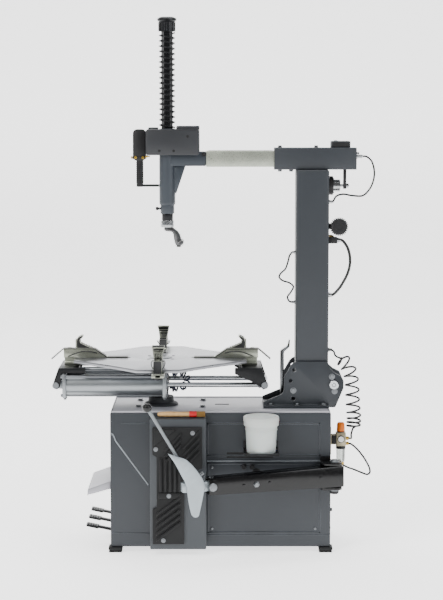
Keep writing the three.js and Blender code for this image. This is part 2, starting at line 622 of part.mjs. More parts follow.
const columnRight = COLUMN_LEFT + COLUMN_WIDTH;
const halfDepth = COLUMN_DEPTH / 2;
const lugReach = tiltX + 26;
const knobX = columnRight + 37;
const knobZ = housingBottom - 204;
const hoseBlockX = columnRight + 31;
const column = block(COLUMN_LEFT, columnRight, -halfDepth, halfDepth, columnBottom, housingBottom - GAP)
  .subtract(block(
    COLUMN_LEFT + COLUMN_WALL, columnRight - COLUMN_WALL, -halfDepth + COLUMN_WALL,
    halfDepth - COLUMN_WALL, columnBottom - 1, housingBottom + 1))
  .add(block(columnRight - 2, lugReach, -halfDepth, halfDepth, tiltZ - 26, tiltZ + 26))
  .add(block(columnRight - 2, knobX + 10, -28, 0, knobZ - 10, knobZ + 10))
  .add(block(columnRight - 2, hoseBlockX, -38, -20, knobZ - 61, knobZ - 37))
  .subtract(bar('y', tiltX, tiltZ, TILT_PIN_RADIUS + FIT, -halfDepth - 5, halfDepth + 5, 16))
  .subtract(bar('y', knobX, knobZ, 5 + FIT, -33, 5, 12));
piece('column', column, SLATE);

// ---- Arm housing, arm and the valves on the column ----------------------------------------------

const housingTop = housingBottom + ARM_SECTION + 2 * HOUSING_WALL;
const housingRight = HOUSING_LEFT + HOUSING_LENGTH;
const housingHalf = ARM_SECTION / 2 + HOUSING_WALL;
const armHalf = ARM_SECTION / 2;
const armBottom = housingBottom + HOUSING_WALL;
const armTop = armBottom + ARM_SECTION;
const endPlate = 8;
const slideFit = 0.5;
const fittingX = housingRight + 22;
const fittingZ = armBottom + 38;
const housing = block(
  HOUSING_LEFT, housingRight, -housingHalf, housingHalf, housingBottom, housingTop + 2 * slideFit)
  .subtract(block(
    HOUSING_LEFT - 5, housingRight - endPlate, -armHalf - slideFit, armHalf + slideFit,
    armBottom, armTop + 2 * slideFit))
  .subtract(bar('x', 0, armBottom + 20, 8, housingRight - 20, housingRight + 5, 12))
  .add(bar('x', -18, fittingZ, 7, housingRight - 4, fittingX, 12))
  .add(block(columnRight + 7, columnRight + 77, -26, 26, housingTop, housingTop + 26));
piece('arm_housing', housing, SLATE);

const armEnd = HEAD_X + 140; // where the arm meets the head
const arm = block(
  armEnd, HOUSING_LEFT + ARM_TAIL, -armHalf, armHalf, armBottom + slideFit, armTop + slideFit)
  .subtract(block(
    armEnd - 5, HOUSING_LEFT + ARM_TAIL + 5, -armHalf + ARM_WALL, armHalf - ARM_WALL,
    armBottom + slideFit + ARM_WALL, armTop + slideFit - ARM_WALL));
piece('arm', arm, ZINC);

const actuatorZ = housingBottom - 58;
piece('lock_actuator', joined(
  bar('x', 0, actuatorZ, 34, columnRight + GAP, columnRight + 17, 24),
  bar('x', 0, actuatorZ, 22, columnRight + 16, columnRight + 42, 20),
  bar('x', 0, actuatorZ, 5, columnRight + 40, columnRight + 74, 10),
  block(columnRight + 53, columnRight + 64, -10, 10, actuatorZ - 12, housingBottom - GAP)), BLACK_STEEL);

const knobRadius = 34;
const knobThickness = 28;
const flutes = 20;
const knobShape = new THREE.Shape();
for (let i = 0; i < flutes * 2; i += 1) {
  const angle = (i / flutes) * Math.PI;
  const radius = i % 2 ? knobRadius - 5 : knobRadius;
  const point = [knobX + radius * Math.cos(angle), knobZ + radius * Math.sin(angle)];
  if (i === 0) knobShape.moveTo(...point);
  else knobShape.lineTo(...point);
}
knobShape.closePath();
const knobBack = -28 - GAP;
piece('fluted_knob', joined(
  prism('y', knobShape, knobBack - knobThickness, knobBack),
  bar('y', knobX, knobZ, 5, knobBack - 2, -2, 12)), BLACK_STEEL);

// Hoses that the column holds at both ends.
piece('upper_hose', tube([
  [fittingX + GAP, -18, 1412], [738, -18, 1412], [757, -19, 1397], [768, -20, 1362], [766, -22, 1330],
  [752, -25, 1296], [727, -28, 1272], [690, -30, 1272], [655, -31, 1277], [632, -32, 1270],
  [618, -34, 1250], [columnRight + 0.8, -34, 1250]], 3, 30), HOSE_BLACK);
piece('lock_hose', tube([
  [hoseBlockX + 0.5, -29, 1112], [652, -29, 1112], [671, -29, 1090], [681, -29, 1060], [683, -29, 1030],
  [676, -29, 996], [660, -29, 962], [640, -29, 932], [620, -29, 914],
  [columnRight + 0.8, -29, 914]], 5, 22), HOSE_BLACK);
piece('thin_hose', tube([
  [COLUMN_LEFT - 0.6, -30, 1068], [475, -30, 1068], [465, -30, 1056], [460, -30, 1036],
  [450, -30, 1008], [432, -30, 990], [428, -30, 978], [440, -30, 966], [466, -30, 957],
  [479, -30, 944], [470, -30, 924], [458, -30, 906],
  [466, -30, 890], [478, -30, 888], [COLUMN_LEFT - 0.6, -30, 888]], 2.5, 34), HOSE_BLACK);

// ---- Head: casting, cover, handle, shaft and mounting tool --------------------------------------

const boreRadius = SHAFT_RADIUS + FIT + 0.3;
const head = joined(
  bar('z', HEAD_X, 0, headRadius, headBottom + 36, headTop, 28),
  bar('z', HEAD_X, 0, headRadius - 4, headBottom, headBottom + 39, 28),
  block(HEAD_X, armEnd - GAP, -26, 26, armBottom + 3, armTop - 3),
  prism('y', [
    [HEAD_X + 20, headBottom + 74], [HEAD_X + 33, headBottom + 74],
    [HEAD_X + 66, armBottom + 5], [HEAD_X + 20, armBottom + 5]],
  -12, 12),
  bar('x', 0, headBottom + 18, 6, HEAD_X - 42, HEAD_X - 22, 12),
).subtract(bar('z', HEAD_X, 0, boreRadius, headBottom - 5, headTop + 5, 24));
piece('head_casting', head, SLATE);

const coverRight = COVER_LEFT + COVER_WIDTH;
const coverHalf = COVER_DEPTH / 2;
const coverTop = headTop - 2;
const coverBottom = coverTop - COVER_HEIGHT;
const coverSection = eased([
  [COVER_LEFT, coverBottom], [coverRight, coverBottom], [coverRight, coverTop],
  [COVER_LEFT, coverTop]], 7);
const cover = prism('y', coverSection, -coverHalf, coverHalf)
  .subtract(block(
    COVER_LEFT + COVER_WALL, coverRight - COVER_WALL, -coverHalf + COVER_WALL, coverHalf - COVER_WALL,
    coverBottom - 20, coverTop - COVER_WALL))
  .subtract(bar('z', HEAD_X, 0, headRadius + FIT, coverTop - 10, coverTop + 10, 28))
  .subtract(block(
    coverRight - 10, coverRight + 10, -armHalf - 2, armHalf + 2, coverBottom - 10, armTop + 2))
  .add(block(
    HEAD_X + headRadius + 4, coverRight, -coverHalf + 8, coverHalf - 8, coverTop - 1, coverTop + 12));
piece('head_cover', cover, PLASTIC);

const handleRight = COVER_LEFT - GAP;
const handleLeft = handleRight - 47;
const gripX = handleRight - 22.7;
const handleBottom = coverBottom - 20.5;
piece('lock_handle', joined(
  prism('y', eased([
    [handleLeft, handleBottom], [handleRight, handleBottom],
    [handleRight, coverTop], [handleLeft, coverTop]], 14), -16, 16),
  bar('z', gripX, 0, 14, headBottom + 96, handleBottom + 4, 16),
  bar('x', 0, headBottom + 101, 5, gripX, HEAD_X - headRadius - GAP, 10)), BLACK_STEEL);

const springTop = headTop + GAP + SPRING_LENGTH;
const capTop = springTop + GAP + CAP_HEIGHT;
const shaft = joined(
  bar('z', HEAD_X, 0, SHAFT_RADIUS, shaftBottom - 1, springTop + 20, 6),
  turned(HEAD_X, 0, [
    [0, springTop + GAP], [CAP_RADIUS, springTop + GAP], [CAP_RADIUS, capTop - 12],
    [CAP_RADIUS + 4, capTop - 8],
    [CAP_RADIUS + 4, capTop - 5], [CAP_RADIUS - 8, capTop], [0, capTop]], 24),
  bar('z', HEAD_X, 0, headRadius - 9, shaftBottom, headBottom - 2, 20),
  bar('z', HEAD_X, 0, headRadius - 5, shaftBottom - 24, shaftBottom + 1, 20));
piece('vertical_shaft', shaft, BLACK_STEEL);

const toolTop = shaftBottom - 24 - GAP;
piece('mount_head', joined(
  prism('y', eased([
    [HEAD_X - 10, toolTop], [HEAD_X - 10, toolTop - 12], [HEAD_X + 22, toolTop - 16],
    [HEAD_X + 25, toolTop - 40],
    [HEAD_X + 29, toolTop - 62], [HEAD_X + 42, toolTop - 70], [HEAD_X + 54, toolTop - 56],
    [HEAD_X + 48, toolTop - 40], [HEAD_X + 39, toolTop - 18], [HEAD_X + 19, toolTop]], 4), -17, 17),
  prism('y', [
    [HEAD_X + 30, toolTop - 62], [HEAD_X + 42, toolTop - 70], [HEAD_X + 54, toolTop - 56],
    [HEAD_X + 44, toolTop - 48]], -44, 44)), PLATE_STEEL);

const springRadius = SHAFT_RADIUS + 4;
class Helix extends THREE.Curve {
  getPoint(t, target = new THREE.Vector3()) {
    const angle = t * SPRING_TURNS * 2 * Math.PI;
    const height = headTop + GAP + SPRING_WIRE / 2 + t * (SPRING_LENGTH - SPRING_WIRE);
    return target.set(
      HEAD_X + springRadius * Math.cos(angle), springRadius * Math.sin(angle), height);
  }
}
const wire = new THREE.Shape();
for (let i = 0; i < 5; i += 1) {
  const angle = (i / 5) * 2 * Math.PI;
  const point = [(SPRING_WIRE / 2) * Math.cos(angle), (SPRING_WIRE / 2) * Math.sin(angle)];
  if (i === 0) wire.moveTo(...point);
  else wire.lineTo(...point);
}
wire.closePath();
piece('shaft_spring', solid(new THREE.ExtrudeGeometry(
  wire, { steps: SPRING_TURNS * 9, extrudePath: new Helix(), bevelEnabled: false })), BLACK_STEEL);

// ---- Bead breaker -------------------------------------------------------------------------------

const hingeBase = cabinetFront - GAP;
const knuckleTop = BREAKER_BOTTOM + BREAKER_HEIGHT + 1;
const knuckleBottom = BREAKER_BOTTOM - 1;
const knuckle = 11;
const hinge = joined(
  block(
    BREAKER_HINGE_X - 48, cabinetRight - 1, hingeBase - 8, hingeBase,
    knuckleBottom - 22, knuckleTop + 22),
  block(BREAKER_HINGE_X - 48, BREAKER_HINGE_X + 26, hingeY - 26, hingeBase,
    knuckleTop, knuckleTop + knuckle),
  block(BREAKER_HINGE_X - 48, BREAKER_HINGE_X + 26, hingeY - 26, hingeBase,
    knuckleBottom - knuckle, knuckleBottom),
  bar('z', BREAKER_HINGE_X, hingeY, BREAKER_PIN_RADIUS, knuckleBottom - 24, knuckleTop + 20, 18));
piece('breaker_hinge', hinge, GLOSS_BLACK);

const swing = new THREE.Group();
swing.position.set(BREAKER_HINGE_X, hingeY, 0);
swing.rotation.z = THREE.MathUtils.degToRad(BREAKER_ANGLE);
machine.add(swing);

const armThick = BREAKER_THICKNESS / 2;
const armHigh = BREAKER_BOTTOM + BREAKER_HEIGHT;
const armLow = BREAKER_BOTTOM;
const tipHigh = BREAKER_BOTTOM + BREAKER_TIP_HEIGHT;
const rodAlong = (BREAKER_HINGE_X - BREAKER_ROD_X) / Math.cos(THREE.MathUtils.degToRad(BREAKER_ANGLE));
const swivelX = -BREAKER_LENGTH + 15;
const breakerArm = prism('y', [
  [-BREAKER_LENGTH, armLow], [26, armLow], [26, armHigh], [-BREAKER_LENGTH, tipHigh]], -armThick, armThick)
  .subtract(prism('y', [
    [-BREAKER_LENGTH - 5, armLow + BREAKER_WALL], [20, armLow + BREAKER_WALL],
    [20, armHigh - BREAKER_WALL], [-BREAKER_LENGTH - 5, tipHigh - BREAKER_WALL]],
  -armThick + BREAKER_WALL, armThick - BREAKER_WALL))
  .add(bar('z', 0, 0, 22, armLow + 1, armHigh - 2, 20))
  .subtract(bar('z', 0, 0, BREAKER_PIN_RADIUS + FIT, armLow - 10, armHigh + 10, 18))
  .subtract(block(-rodAlong - 80, -rodAlong + 26, 5, armThick + 5, breakerRodZ - 18, breakerRodZ + 18))
  .add(bar('z', swivelX, 0, SWIVEL_PIN_RADIUS, armLow + 1, tipHigh - 1, 12));
piece('breaker_arm', breakerArm, GLOSS_BLACK, swing);

// The blade's stem sits in the arm's open end and swivels on a pin across it.
const stemZ = (armLow + tipHigh) / 2;
const stemHalf = 17;
const stemThick = 15;
const bladeX = -BREAKER_LENGTH - 78;
const bladeBack = 2 - stemThick;
const bladeThickness = 9;
const bladeOutline = [
  [-68, 125], [-36, 112], [-4, 101], [32, 64], [66, 8], [61, -14], [42, -100], [23, -102], [11, -80],
  [4, -46], [-2, 4], [-19, 42], [-45, 92]];
const blade = joined(
  prism('y', bladeOutline.map(([x, z]) => [bladeX + x, stemZ + z]), bladeBack - bladeThickness, bladeBack),
  block(bladeX - 14, swivelX + 25, -stemThick, stemThick, stemZ - stemHalf, stemZ + stemHalf),
).subtract(bar('z', swivelX, 0, SWIVEL_PIN_RADIUS + FIT, stemZ - 30, stemZ + 30, 12));
piece('breaker_blade', blade, ALUMINIUM, swing);

const handleRodRadius = 6.3;
const handleBase = [bladeX, bladeBack + 37, stemZ + 63];
const handleTop = [-711, -102, 584];
const handleLine = new THREE.LineCurve3(new THREE.Vector3(...handleBase), new THREE.Vector3(...handleTop));
const rodSection = new THREE.Shape();
rodSection.absarc(0, 0, handleRodRadius, 0, 2 * Math.PI, false);
const handleRod = solid(new THREE.ExtrudeGeometry(
  rodSection, { steps: 1, extrudePath: handleLine, bevelEnabled: false, curveSegments: 5 }));
piece('breaker_handle', joined(
  handleRod,
  ball(...handleTop, 16, 14),
  block(handleBase[0] - 12, handleBase[0] + 12, bladeBack + GAP, handleBase[1] + 9,
    handleBase[2] - 24, handleBase[2] + 8)), ALUMINIUM, swing);

const armY = hingeY - (BREAKER_HINGE_X - BREAKER_ROD_X)
  * Math.tan(THREE.MathUtils.degToRad(BREAKER_ANGLE));
const rodHead = 14;
const breakerBarrelFront = cabinetFront + CABINET_SHEET + 12;
const breakerBarrelBack = cabinetBack - CABINET_SHEET - GAP;
const breakerBarrelRadius = 62;
const breakerPistonY = 20;
piece('breaker_cylinder', joined(
  bar('y', BREAKER_ROD_X, breakerRodZ, breakerBarrelRadius, breakerBarrelFront, breakerBarrelBack, 28),
  block(BREAKER_ROD_X - 68, BREAKER_ROD_X + 68, breakerBarrelFront, breakerBarrelFront + 14,
    breakerRodZ - 68, breakerRodZ + 68),
).subtract(bar('y', BREAKER_ROD_X, breakerRodZ, breakerBarrelRadius - 4,
  breakerBarrelFront + 14, breakerBarrelBack - 10, 28))
  .subtract(bar('y', BREAKER_ROD_X, breakerRodZ, BREAKER_ROD_RADIUS + FIT,
    breakerBarrelFront - 5, breakerBarrelFront + 30, 16)), ALUMINIUM);
piece('breaker_rod', joined(
  bar('y', BREAKER_ROD_X, breakerRodZ, BREAKER_ROD_RADIUS, armY - rodHead / 2 + 2, breakerPistonY + 5, 16),
  bar('y', BREAKER_ROD_X, breakerRodZ, rodHead, armY - rodHead / 2, armY + rodHead / 2, 16),
  bar(
    'y', BREAKER_ROD_X, breakerRodZ, breakerBarrelRadius - 4 - FIT,
    breakerPistonY, breakerPistonY + 20, 24),
), CHROME);

// ---- Regulator and the air hoses on the right side ----------------------------------------------

const regulatorWall = cabinetRight + GAP;
const regulatorX = cabinetRight + 42;
const regulatorY = -60;
piece('regulator', joined(
  block(regulatorWall, regulatorX - 14, regulatorY - 14, regulatorY + 14, 372, 412),
  block(regulatorWall, regulatorWall + 6, regulatorY - 25, regulatorY + 25, 340, 440),
  block(regulatorX - 19, regulatorX + 19, regulatorY - 19, regulatorY + 19, 366, 421),
  bar('z', regulatorX, regulatorY, 15, 418, 454, 16),
  bar('z', regulatorX, regulatorY, 17, 306, 368, 16)), ALUMINIUM);

const coilRadius = 27;
const leadRadius = 3;
const coilY = -118;
piece('coil_air_hose', joined(
  tube([
    [628, coilY + 6, 708], [652, coilY, 690], [672, coilY, 664], [684, coilY, 628], [688, coilY, 584],
    [691, coilY, 530], [695, coilY, 480], [693, coilY, 436]], coilRadius, 22, 10),
  tube([
    [columnRight + 0.6, -40, 716], [615, -40, 716], [625, -58, 711], [628, -80, 702],
    [634, -98, 698], [641, coilY + 4, 697]], leadRadius, 14),
  tube([
    [691, coilY + 3, 444], [686, coilY + 4, 420], [688, -96, 404], [688, -74, 397],
    [682, regulatorY, 395], [regulatorX + 19.6, regulatorY, 395]], leadRadius, 14)), HOSE_BLACK);
piece('regulator_hose', tube([
  [regulatorX + 6, regulatorY, 305.4], [regulatorX + 6, regulatorY, 300], [676, -61, 289],
  [700, -64, 281], [728, -67, 270], [748, -70, 264], [757, -71, 270], [757, -72, 284],
  [744, -73, 312], [724, -74, 342], [704, -73, 364], [688, -64, 375],
  [680, regulatorY, 376], [regulatorX + 19.6, regulatorY, 376]], leadRadius, 30), HOSE_BLACK);

// ---- Loose things that the machine carries: bucket, brush and tyre lever ------------------------

const shelfBack = cabinetFront - GAP;
const bucketY = shelfBack - LID_RADIUS - 5;
const shelfTop = SHELF_Z + SHELF_THICKNESS;
piece('bucket_shelf', joined(
  block(BUCKET_X - 62, BUCKET_X + 62, bucketY - 58, shelfBack, SHELF_Z, shelfTop),
  block(BUCKET_X - 62, BUCKET_X + 62, shelfBack - 3, shelfBack, SHELF_Z, shelfTop + 30)), BLACK_STEEL);

const bucketBottom = shelfTop + GAP;
const bucketTop = bucketBottom + BUCKET_HEIGHT;
piece('grease_bucket', turned(BUCKET_X, bucketY, [
  [0, bucketBottom], [BUCKET_RADIUS - 6, bucketBottom], [BUCKET_RADIUS, bucketTop],
  [BUCKET_RADIUS - BUCKET_WALL, bucketTop], [BUCKET_RADIUS - 6 - BUCKET_WALL, bucketBottom + BUCKET_WALL],
  [0, bucketBottom + BUCKET_WALL]], 28), WHITE_PLASTIC);
const lidTop = bucketTop + GAP + 6;
piece('bucket_lid', turned(BUCKET_X, bucketY, [
  [0, bucketTop + GAP], [BUCKET_RADIUS + GAP, bucketTop + GAP],
  [BUCKET_RADIUS + GAP, lidTop - LID_HEIGHT + 8],
  [LID_RADIUS - 2, lidTop - LID_HEIGHT + 8], [LID_RADIUS, lidTop - 4], [LID_RADIUS - 4, lidTop],
  [0, lidTop]], 28), WHITE_PLASTIC);

const brushY = cabinetFront - PANEL_DEPTH / 2;
const brushZ = panelTop + GAP + 11;
piece('brush', joined(
  bar('x', brushY, brushZ, 10, -7, 108, 14),
  bar('x', brushY, brushZ, 11, 106, 132, 14),
  bar('x', brushY, brushZ, 10.5, 131, 163, 14)), WOOD);

const leverX = COLUMN_LEFT - 47;
const leverFoot = flangeTop + GAP;
const leverTip = leverFoot + 228.1;
piece('tyre_lever', prism('y', [
  [leverX - 7, leverFoot], [leverX + 7, leverFoot], [leverX + 7, leverTip - 44],
  [leverX + 27, leverTip - 26], [leverX + 29, leverTip], [leverX + 24, leverTip],
  [leverX + 20, leverTip - 20], [leverX - 7, leverTip - 34]], -11, 11), CHROME);

// ---- Stand the machine on its origin ------------------------------------------------------------

const cordNames = new Set([
  'coil_air_hose', 'regulator_hose', 'upper_hose', 'lock_hose', 'thin_hose', 'table_hose']);
machine.updateMatrixWorld(true);
const bounds = new THREE.Box3();
machine.traverse((part) => {
  if (part.isMesh && !cordNames.has(part.name)) bounds.expandByObject(part, true);
});
const centre = bounds.getCenter(new THREE.Vector3());
machine.position.set(-centre.x, -centre.y, -bounds.min.z);
machine.updateMatrixWorld(true);

export default machine;
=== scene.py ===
import json
import math
import bmesh
import bpy
from mathutils import Matrix, Vector


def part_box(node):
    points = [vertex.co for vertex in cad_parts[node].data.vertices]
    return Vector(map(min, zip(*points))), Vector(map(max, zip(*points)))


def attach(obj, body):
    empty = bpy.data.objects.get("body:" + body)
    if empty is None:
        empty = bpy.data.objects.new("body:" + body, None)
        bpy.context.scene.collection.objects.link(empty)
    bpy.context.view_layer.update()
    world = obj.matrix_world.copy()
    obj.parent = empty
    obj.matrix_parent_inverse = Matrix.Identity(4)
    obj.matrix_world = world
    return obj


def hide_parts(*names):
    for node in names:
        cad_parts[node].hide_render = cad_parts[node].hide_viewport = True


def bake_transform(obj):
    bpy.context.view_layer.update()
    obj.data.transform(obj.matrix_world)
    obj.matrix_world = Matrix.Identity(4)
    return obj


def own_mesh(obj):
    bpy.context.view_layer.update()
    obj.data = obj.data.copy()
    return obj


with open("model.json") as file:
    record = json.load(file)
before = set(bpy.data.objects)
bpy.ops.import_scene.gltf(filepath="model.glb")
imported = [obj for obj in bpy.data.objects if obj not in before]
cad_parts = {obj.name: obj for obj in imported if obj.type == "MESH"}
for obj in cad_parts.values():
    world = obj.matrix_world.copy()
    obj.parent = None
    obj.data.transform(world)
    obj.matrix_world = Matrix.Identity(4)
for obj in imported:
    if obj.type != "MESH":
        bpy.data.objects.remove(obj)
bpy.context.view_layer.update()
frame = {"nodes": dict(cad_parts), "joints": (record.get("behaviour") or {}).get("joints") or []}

# ---- Setting out ---------------------------------------------------------------------------------
# Every piece is measured in millimetres from the turntable's axis: X towards the column, Y away
# from the bead breaker, Z up from the floor.
turntable_axis = next(j["pos_m"] for j in frame["joints"] if j["name"] == "turntable_spin")
to_metres = Matrix.Translation((turntable_axis[0], turntable_axis[1], 0)) @ Matrix.Scale(0.001, 4)


def at(x, y, z):
    return to_metres @ Vector((x, y, z))


# ---- Camera --------------------------------------------------------------------------------------
# A long lens at chest height, looking slightly down at the bead breaker's side.
camera_data = bpy.data.cameras.new("camera")
camera_data.sensor_width = 36
camera_data.lens = 108
camera_data.clip_end = 60
camera = bpy.data.objects.new("camera", camera_data)
bpy.context.scene.collection.objects.link(camera)
camera.location = at(220, -6491, 1588)
camera.rotation_euler = (math.radians(90 - 6.12), 0, 0)
bpy.context.scene.camera = camera


# ---- Air hoses -----------------------------------------------------------------------------------
# Polyurethane hose, 5 to 10 mm across, pushed into fittings at both ends. The curly ones were wound
# hot on a former and keep their turns; the plain ones bow out stiffly between their fittings.
def linear(code):
    """An sRGB hex colour as linear RGBA."""
    parts = [int(code[i:i + 2], 16) / 255 for i in (1, 3, 5)]
    return [p / 12.92 if p <= 0.04045 else ((p + 0.055) / 1.055) ** 2.4 for p in parts] + [1]


def add_node(tree, kind, links=None, **settings):
    """Adds a node; links maps its inputs, by name or number, to values or to other sockets."""
    node = tree.nodes.new(kind)
    for name, value in settings.items():
        setattr(node, name, value)
    for key, value in (links or {}).items():
        if isinstance(value, bpy.types.NodeSocket):
            tree.links.new(value, node.inputs[key])
        else:
            node.inputs[key].default_value = value
    return node


def finish_of(name, colour, roughness, metallic=0.0, tone=0.08, tone_mm=90, grain_mm=1.2, spread=0.07,
              bump=0.12, stretch=(1, 1, 1), coat=0.0, worn=None, sheen=0.0, gloss=0.5):
    """A finish with broad drift in tone, grain of grain_mm in roughness and relief drawn out by
    stretch, and, where worn is a colour, that colour rubbed through on the edges. Gloss is how
    strongly its skin reflects, 0.5 being common plastic or paint."""
    material = bpy.data.materials.new(name)
    material.use_nodes = True
    tree = material.node_tree
    shader = tree.nodes["Principled BSDF"]
    for socket, value in (("Metallic", metallic), ("Coat Weight", coat), ("Coat Roughness", 0.1),
                          ("Sheen Weight", sheen), ("Specular IOR Level", gloss)):
        shader.inputs[socket].default_value = value
    place = add_node(tree, "ShaderNodeTexCoord").outputs["Object"]
    broad = add_node(tree, "ShaderNodeTexNoise", {"Vector": place, "Scale": 1000 / tone_mm, "Detail": 5.0})
    drawn = add_node(tree, "ShaderNodeMapping", {"Vector": place, "Scale": stretch})
    fine = add_node(tree, "ShaderNodeTexNoise", {
        "Vector": drawn.outputs["Vector"], "Scale": 1000 / grain_mm, "Detail": 3.0})
    base = linear(colour)
    dark = [c * (1 - 2 * tone) for c in base[:3]] + [1]
    light = [min(1, c * (1 + 2 * tone) + 0.001) for c in base[:3]] + [1]
    shade = add_node(tree, "ShaderNodeMix", {
        0: broad.outputs["Fac"], 6: dark, 7: light}, data_type="RGBA").outputs[2]
    if worn:
        rounded = add_node(tree, "ShaderNodeBevel", {"Radius": 0.0018}, samples=3)
        flat = add_node(tree, "ShaderNodeNewGeometry")
        turn = add_node(tree, "ShaderNodeVectorMath", {
            0: rounded.outputs["Normal"], 1: flat.outputs["Normal"]}, operation="DOT_PRODUCT")
        edge = add_node(tree, "ShaderNodeMapRange", {
            "Value": turn.outputs["Value"], "From Min": 0.985, "From Max": 0.86})
        patchy = add_node(tree, "ShaderNodeMapRange", {
            "Value": broad.outputs["Fac"], "From Min": 0.42, "From Max": 0.62, "To Max": 0.75})
        rubbed = add_node(tree, "ShaderNodeMath", {
            0: edge.outputs["Result"], 1: patchy.outputs["Result"]}, operation="MULTIPLY")
        shade = add_node(tree, "ShaderNodeMix", {
            0: rubbed.outputs["Value"], 6: shade, 7: linear(worn)}, data_type="RGBA").outputs[2]
    tree.links.new(shade, shader.inputs["Base Color"])
    polish = add_node(tree, "ShaderNodeMapRange", {
        "Value": fine.outputs["Fac"], "From Min": 0.3, "From Max": 0.7,
        "To Min": max(0.03, roughness - spread), "To Max": roughness + spread})
    tree.links.new(polish.outputs["Result"], shader.inputs["Roughness"])
    relief = add_node(tree, "ShaderNodeBump", {
        "Height": fine.outputs["Fac"], "Strength": bump, "Distance": 0.0003})
    tree.links.new(relief.outputs["Normal"], shader.inputs["Normal"])
    return material


def tube(mesh, points, radius, sides=10, finish=0, closed=True):
    """Sweeps a round section along points, without twisting, and caps its ends."""
    path = [Vector(p) for p in points]
    before = None
    rings = []
    for i, point in enumerate(path):
        along = (path[min(i + 1, len(path) - 1)] - path[max(i - 1, 0)]).normalized()
        if before is None:
            side = along.orthogonal().normalized()
        else:
            side = (before - along * before.dot(along)).normalized()
        before = side
        across = along.cross(side)
        rings.append([mesh.verts.new(point + radius * (
            math.cos(2 * math.pi * k / sides) * side + math.sin(2 * math.pi * k / sides) * across))
            for k in range(sides)])
    for ring, following in zip(rings, rings[1:]):
        for k in range(sides):
            face = mesh.faces.new((ring[k], ring[(k + 1) % sides], following[(k + 1) % sides], following[k]))
            face.material_index = finish
    if closed:
        for ring in (rings[0][::-1], rings[-1]):
            mesh.faces.new(ring).material_index = finish


def eased(points, per_span=8):
    """A smooth line through points, dense enough to sweep a tube along."""
    line = [Vector(p) for p in points]
    line = [2 * line[0] - line[1]] + line + [2 * line[-1] - line[-2]]
    path = []
    for a, b, c, d in zip(line, line[1:], line[2:], line[3:]):
        u = math.sqrt((b - a).length)
        v = u + math.sqrt((c - b).length)
        w = v + math.sqrt((d - c).length)
        for k in range(per_span):
            t = u + (v - u) * k / per_span
            ab = a.lerp(b, t / u)
            bc = b.lerp(c, (t - u) / (v - u))
            cd = c.lerp(d, (t - v) / (w - v))
            path.append(ab.lerp(bc, t / v).lerp(bc.lerp(cd, (t - u) / (w - u)), (t - u) / (v - u)))
    return path + [line[-2]]


def wound(lead, middle, tips, tail, radius, finish_at):
    """A line that runs in along lead, winds round middle once between each two of tips, which are
    places from 0 to 1 along middle, and runs out along tail. Points that crowd are left out."""
    per_turn = 24
    line = []
    last = len(tips) - 1
    for step in range(last * per_turn + 1):
        turn = step / per_turn
        whole = min(int(turn), last - 1)
        place = (tips[whole] + (tips[whole + 1] - tips[whole]) * (turn - whole)) * (len(middle) - 1)
        index = min(int(place), len(middle) - 2)
        centre = middle[index].lerp(middle[index + 1], place - index)
        along = (middle[index + 1] - middle[index]).normalized()
        side = Vector((1, 0, 0)) - along * along.x
        if side.length < 0.35:
            side = Vector((0, 1, 0)) - along * along.y
        side.normalize()
        reach = radius * min(1, (turn + 0.02) / 0.5, (last - turn + 0.02) / finish_at)
        angle = 2 * math.pi * turn
        line.append(centre + reach * (math.cos(angle) * side + math.sin(angle) * along.cross(side)))
    path = []
    for point in lead + line + tail:
        if not path or (point - path[-1]).length > 1.2:
            path.append(point)
    return path


def finished(name, mesh, materials, body=None, replaced=(), crease=32):
    """Turns a bmesh drawn in millimetres into a piece in metres that rides on a body."""
    bmesh.ops.transform(mesh, matrix=to_metres, verts=mesh.verts)
    bmesh.ops.recalc_face_normals(mesh, faces=mesh.faces)
    for edge in mesh.edges:
        edge.smooth = len(edge.link_faces) == 2 and edge.calc_face_angle(0) < math.radians(crease)
    for face in mesh.faces:
        face.smooth = True
    data = bpy.data.meshes.new(name)
    mesh.to_mesh(data)
    mesh.free()
    for material in materials if isinstance(materials, list) else [materials]:
        data.materials.append(material)
    piece = bpy.data.objects.new(name, data)
    bpy.context.scene.collection.objects.link(piece)
    if body:
        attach(piece, body)
    if replaced:
        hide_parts(*replaced)
    return piece


# Extruded polyurethane: smooth and near black, with one soft streak of light along it.
black_hose = finish_of("black polyurethane hose", "#0f1011", 0.4, tone=0.05, grain_mm=3, bump=0.03,
                       gloss=0.35)
# Blue-black hose with a smoother skin, so that each turn catches a small bright line.
blue_hose = finish_of("blue-black coiled hose", "#0b1736", 0.3, tone=0.08, grain_mm=3, bump=0.03, coat=0.25)


def hose(name, path, radius, body, finish, node):
    """An air hose fixed into the machine at both ends."""
    mesh = bmesh.new()
    tube(mesh, path, radius)
    piece = finished(name, mesh, finish, body, [node])
    return piece


hose("air_hose_upper", eased([
    (726.5, -18, 1412), (738, -18, 1412), (757, -19, 1397), (768, -20, 1362), (766, -22, 1330),
    (752, -25, 1296), (727, -28, 1272), (690, -30, 1272), (655, -31, 1277), (632, -32, 1270),
    (618, -34, 1250), (605.8, -34, 1250)]), 3.4, "column", black_hose, "upper_hose")
hose("air_hose_lock", eased([
    (636.7, -29, 1112), (652, -29, 1112), (671, -29, 1090), (681, -29, 1060), (683, -29, 1030),
    (676, -29, 996), (660, -29, 962), (640, -29, 932), (620, -29, 914), (605.8, -29, 914)]),
    5.2, "column", black_hose, "lock_hose")
hose("air_hose_thin", eased([
    (486.4, -30, 1068), (475, -30, 1068), (465, -30, 1056), (460, -30, 1036), (450, -30, 1008),
    (432, -30, 990), (428, -30, 978), (440, -30, 966), (466, -30, 957), (479, -30, 944),
    (470, -30, 924), (458, -30, 906), (466, -30, 890), (478, -30, 888), (486.4, -30, 888)]),
    3.2, "column", black_hose, "thin_hose")
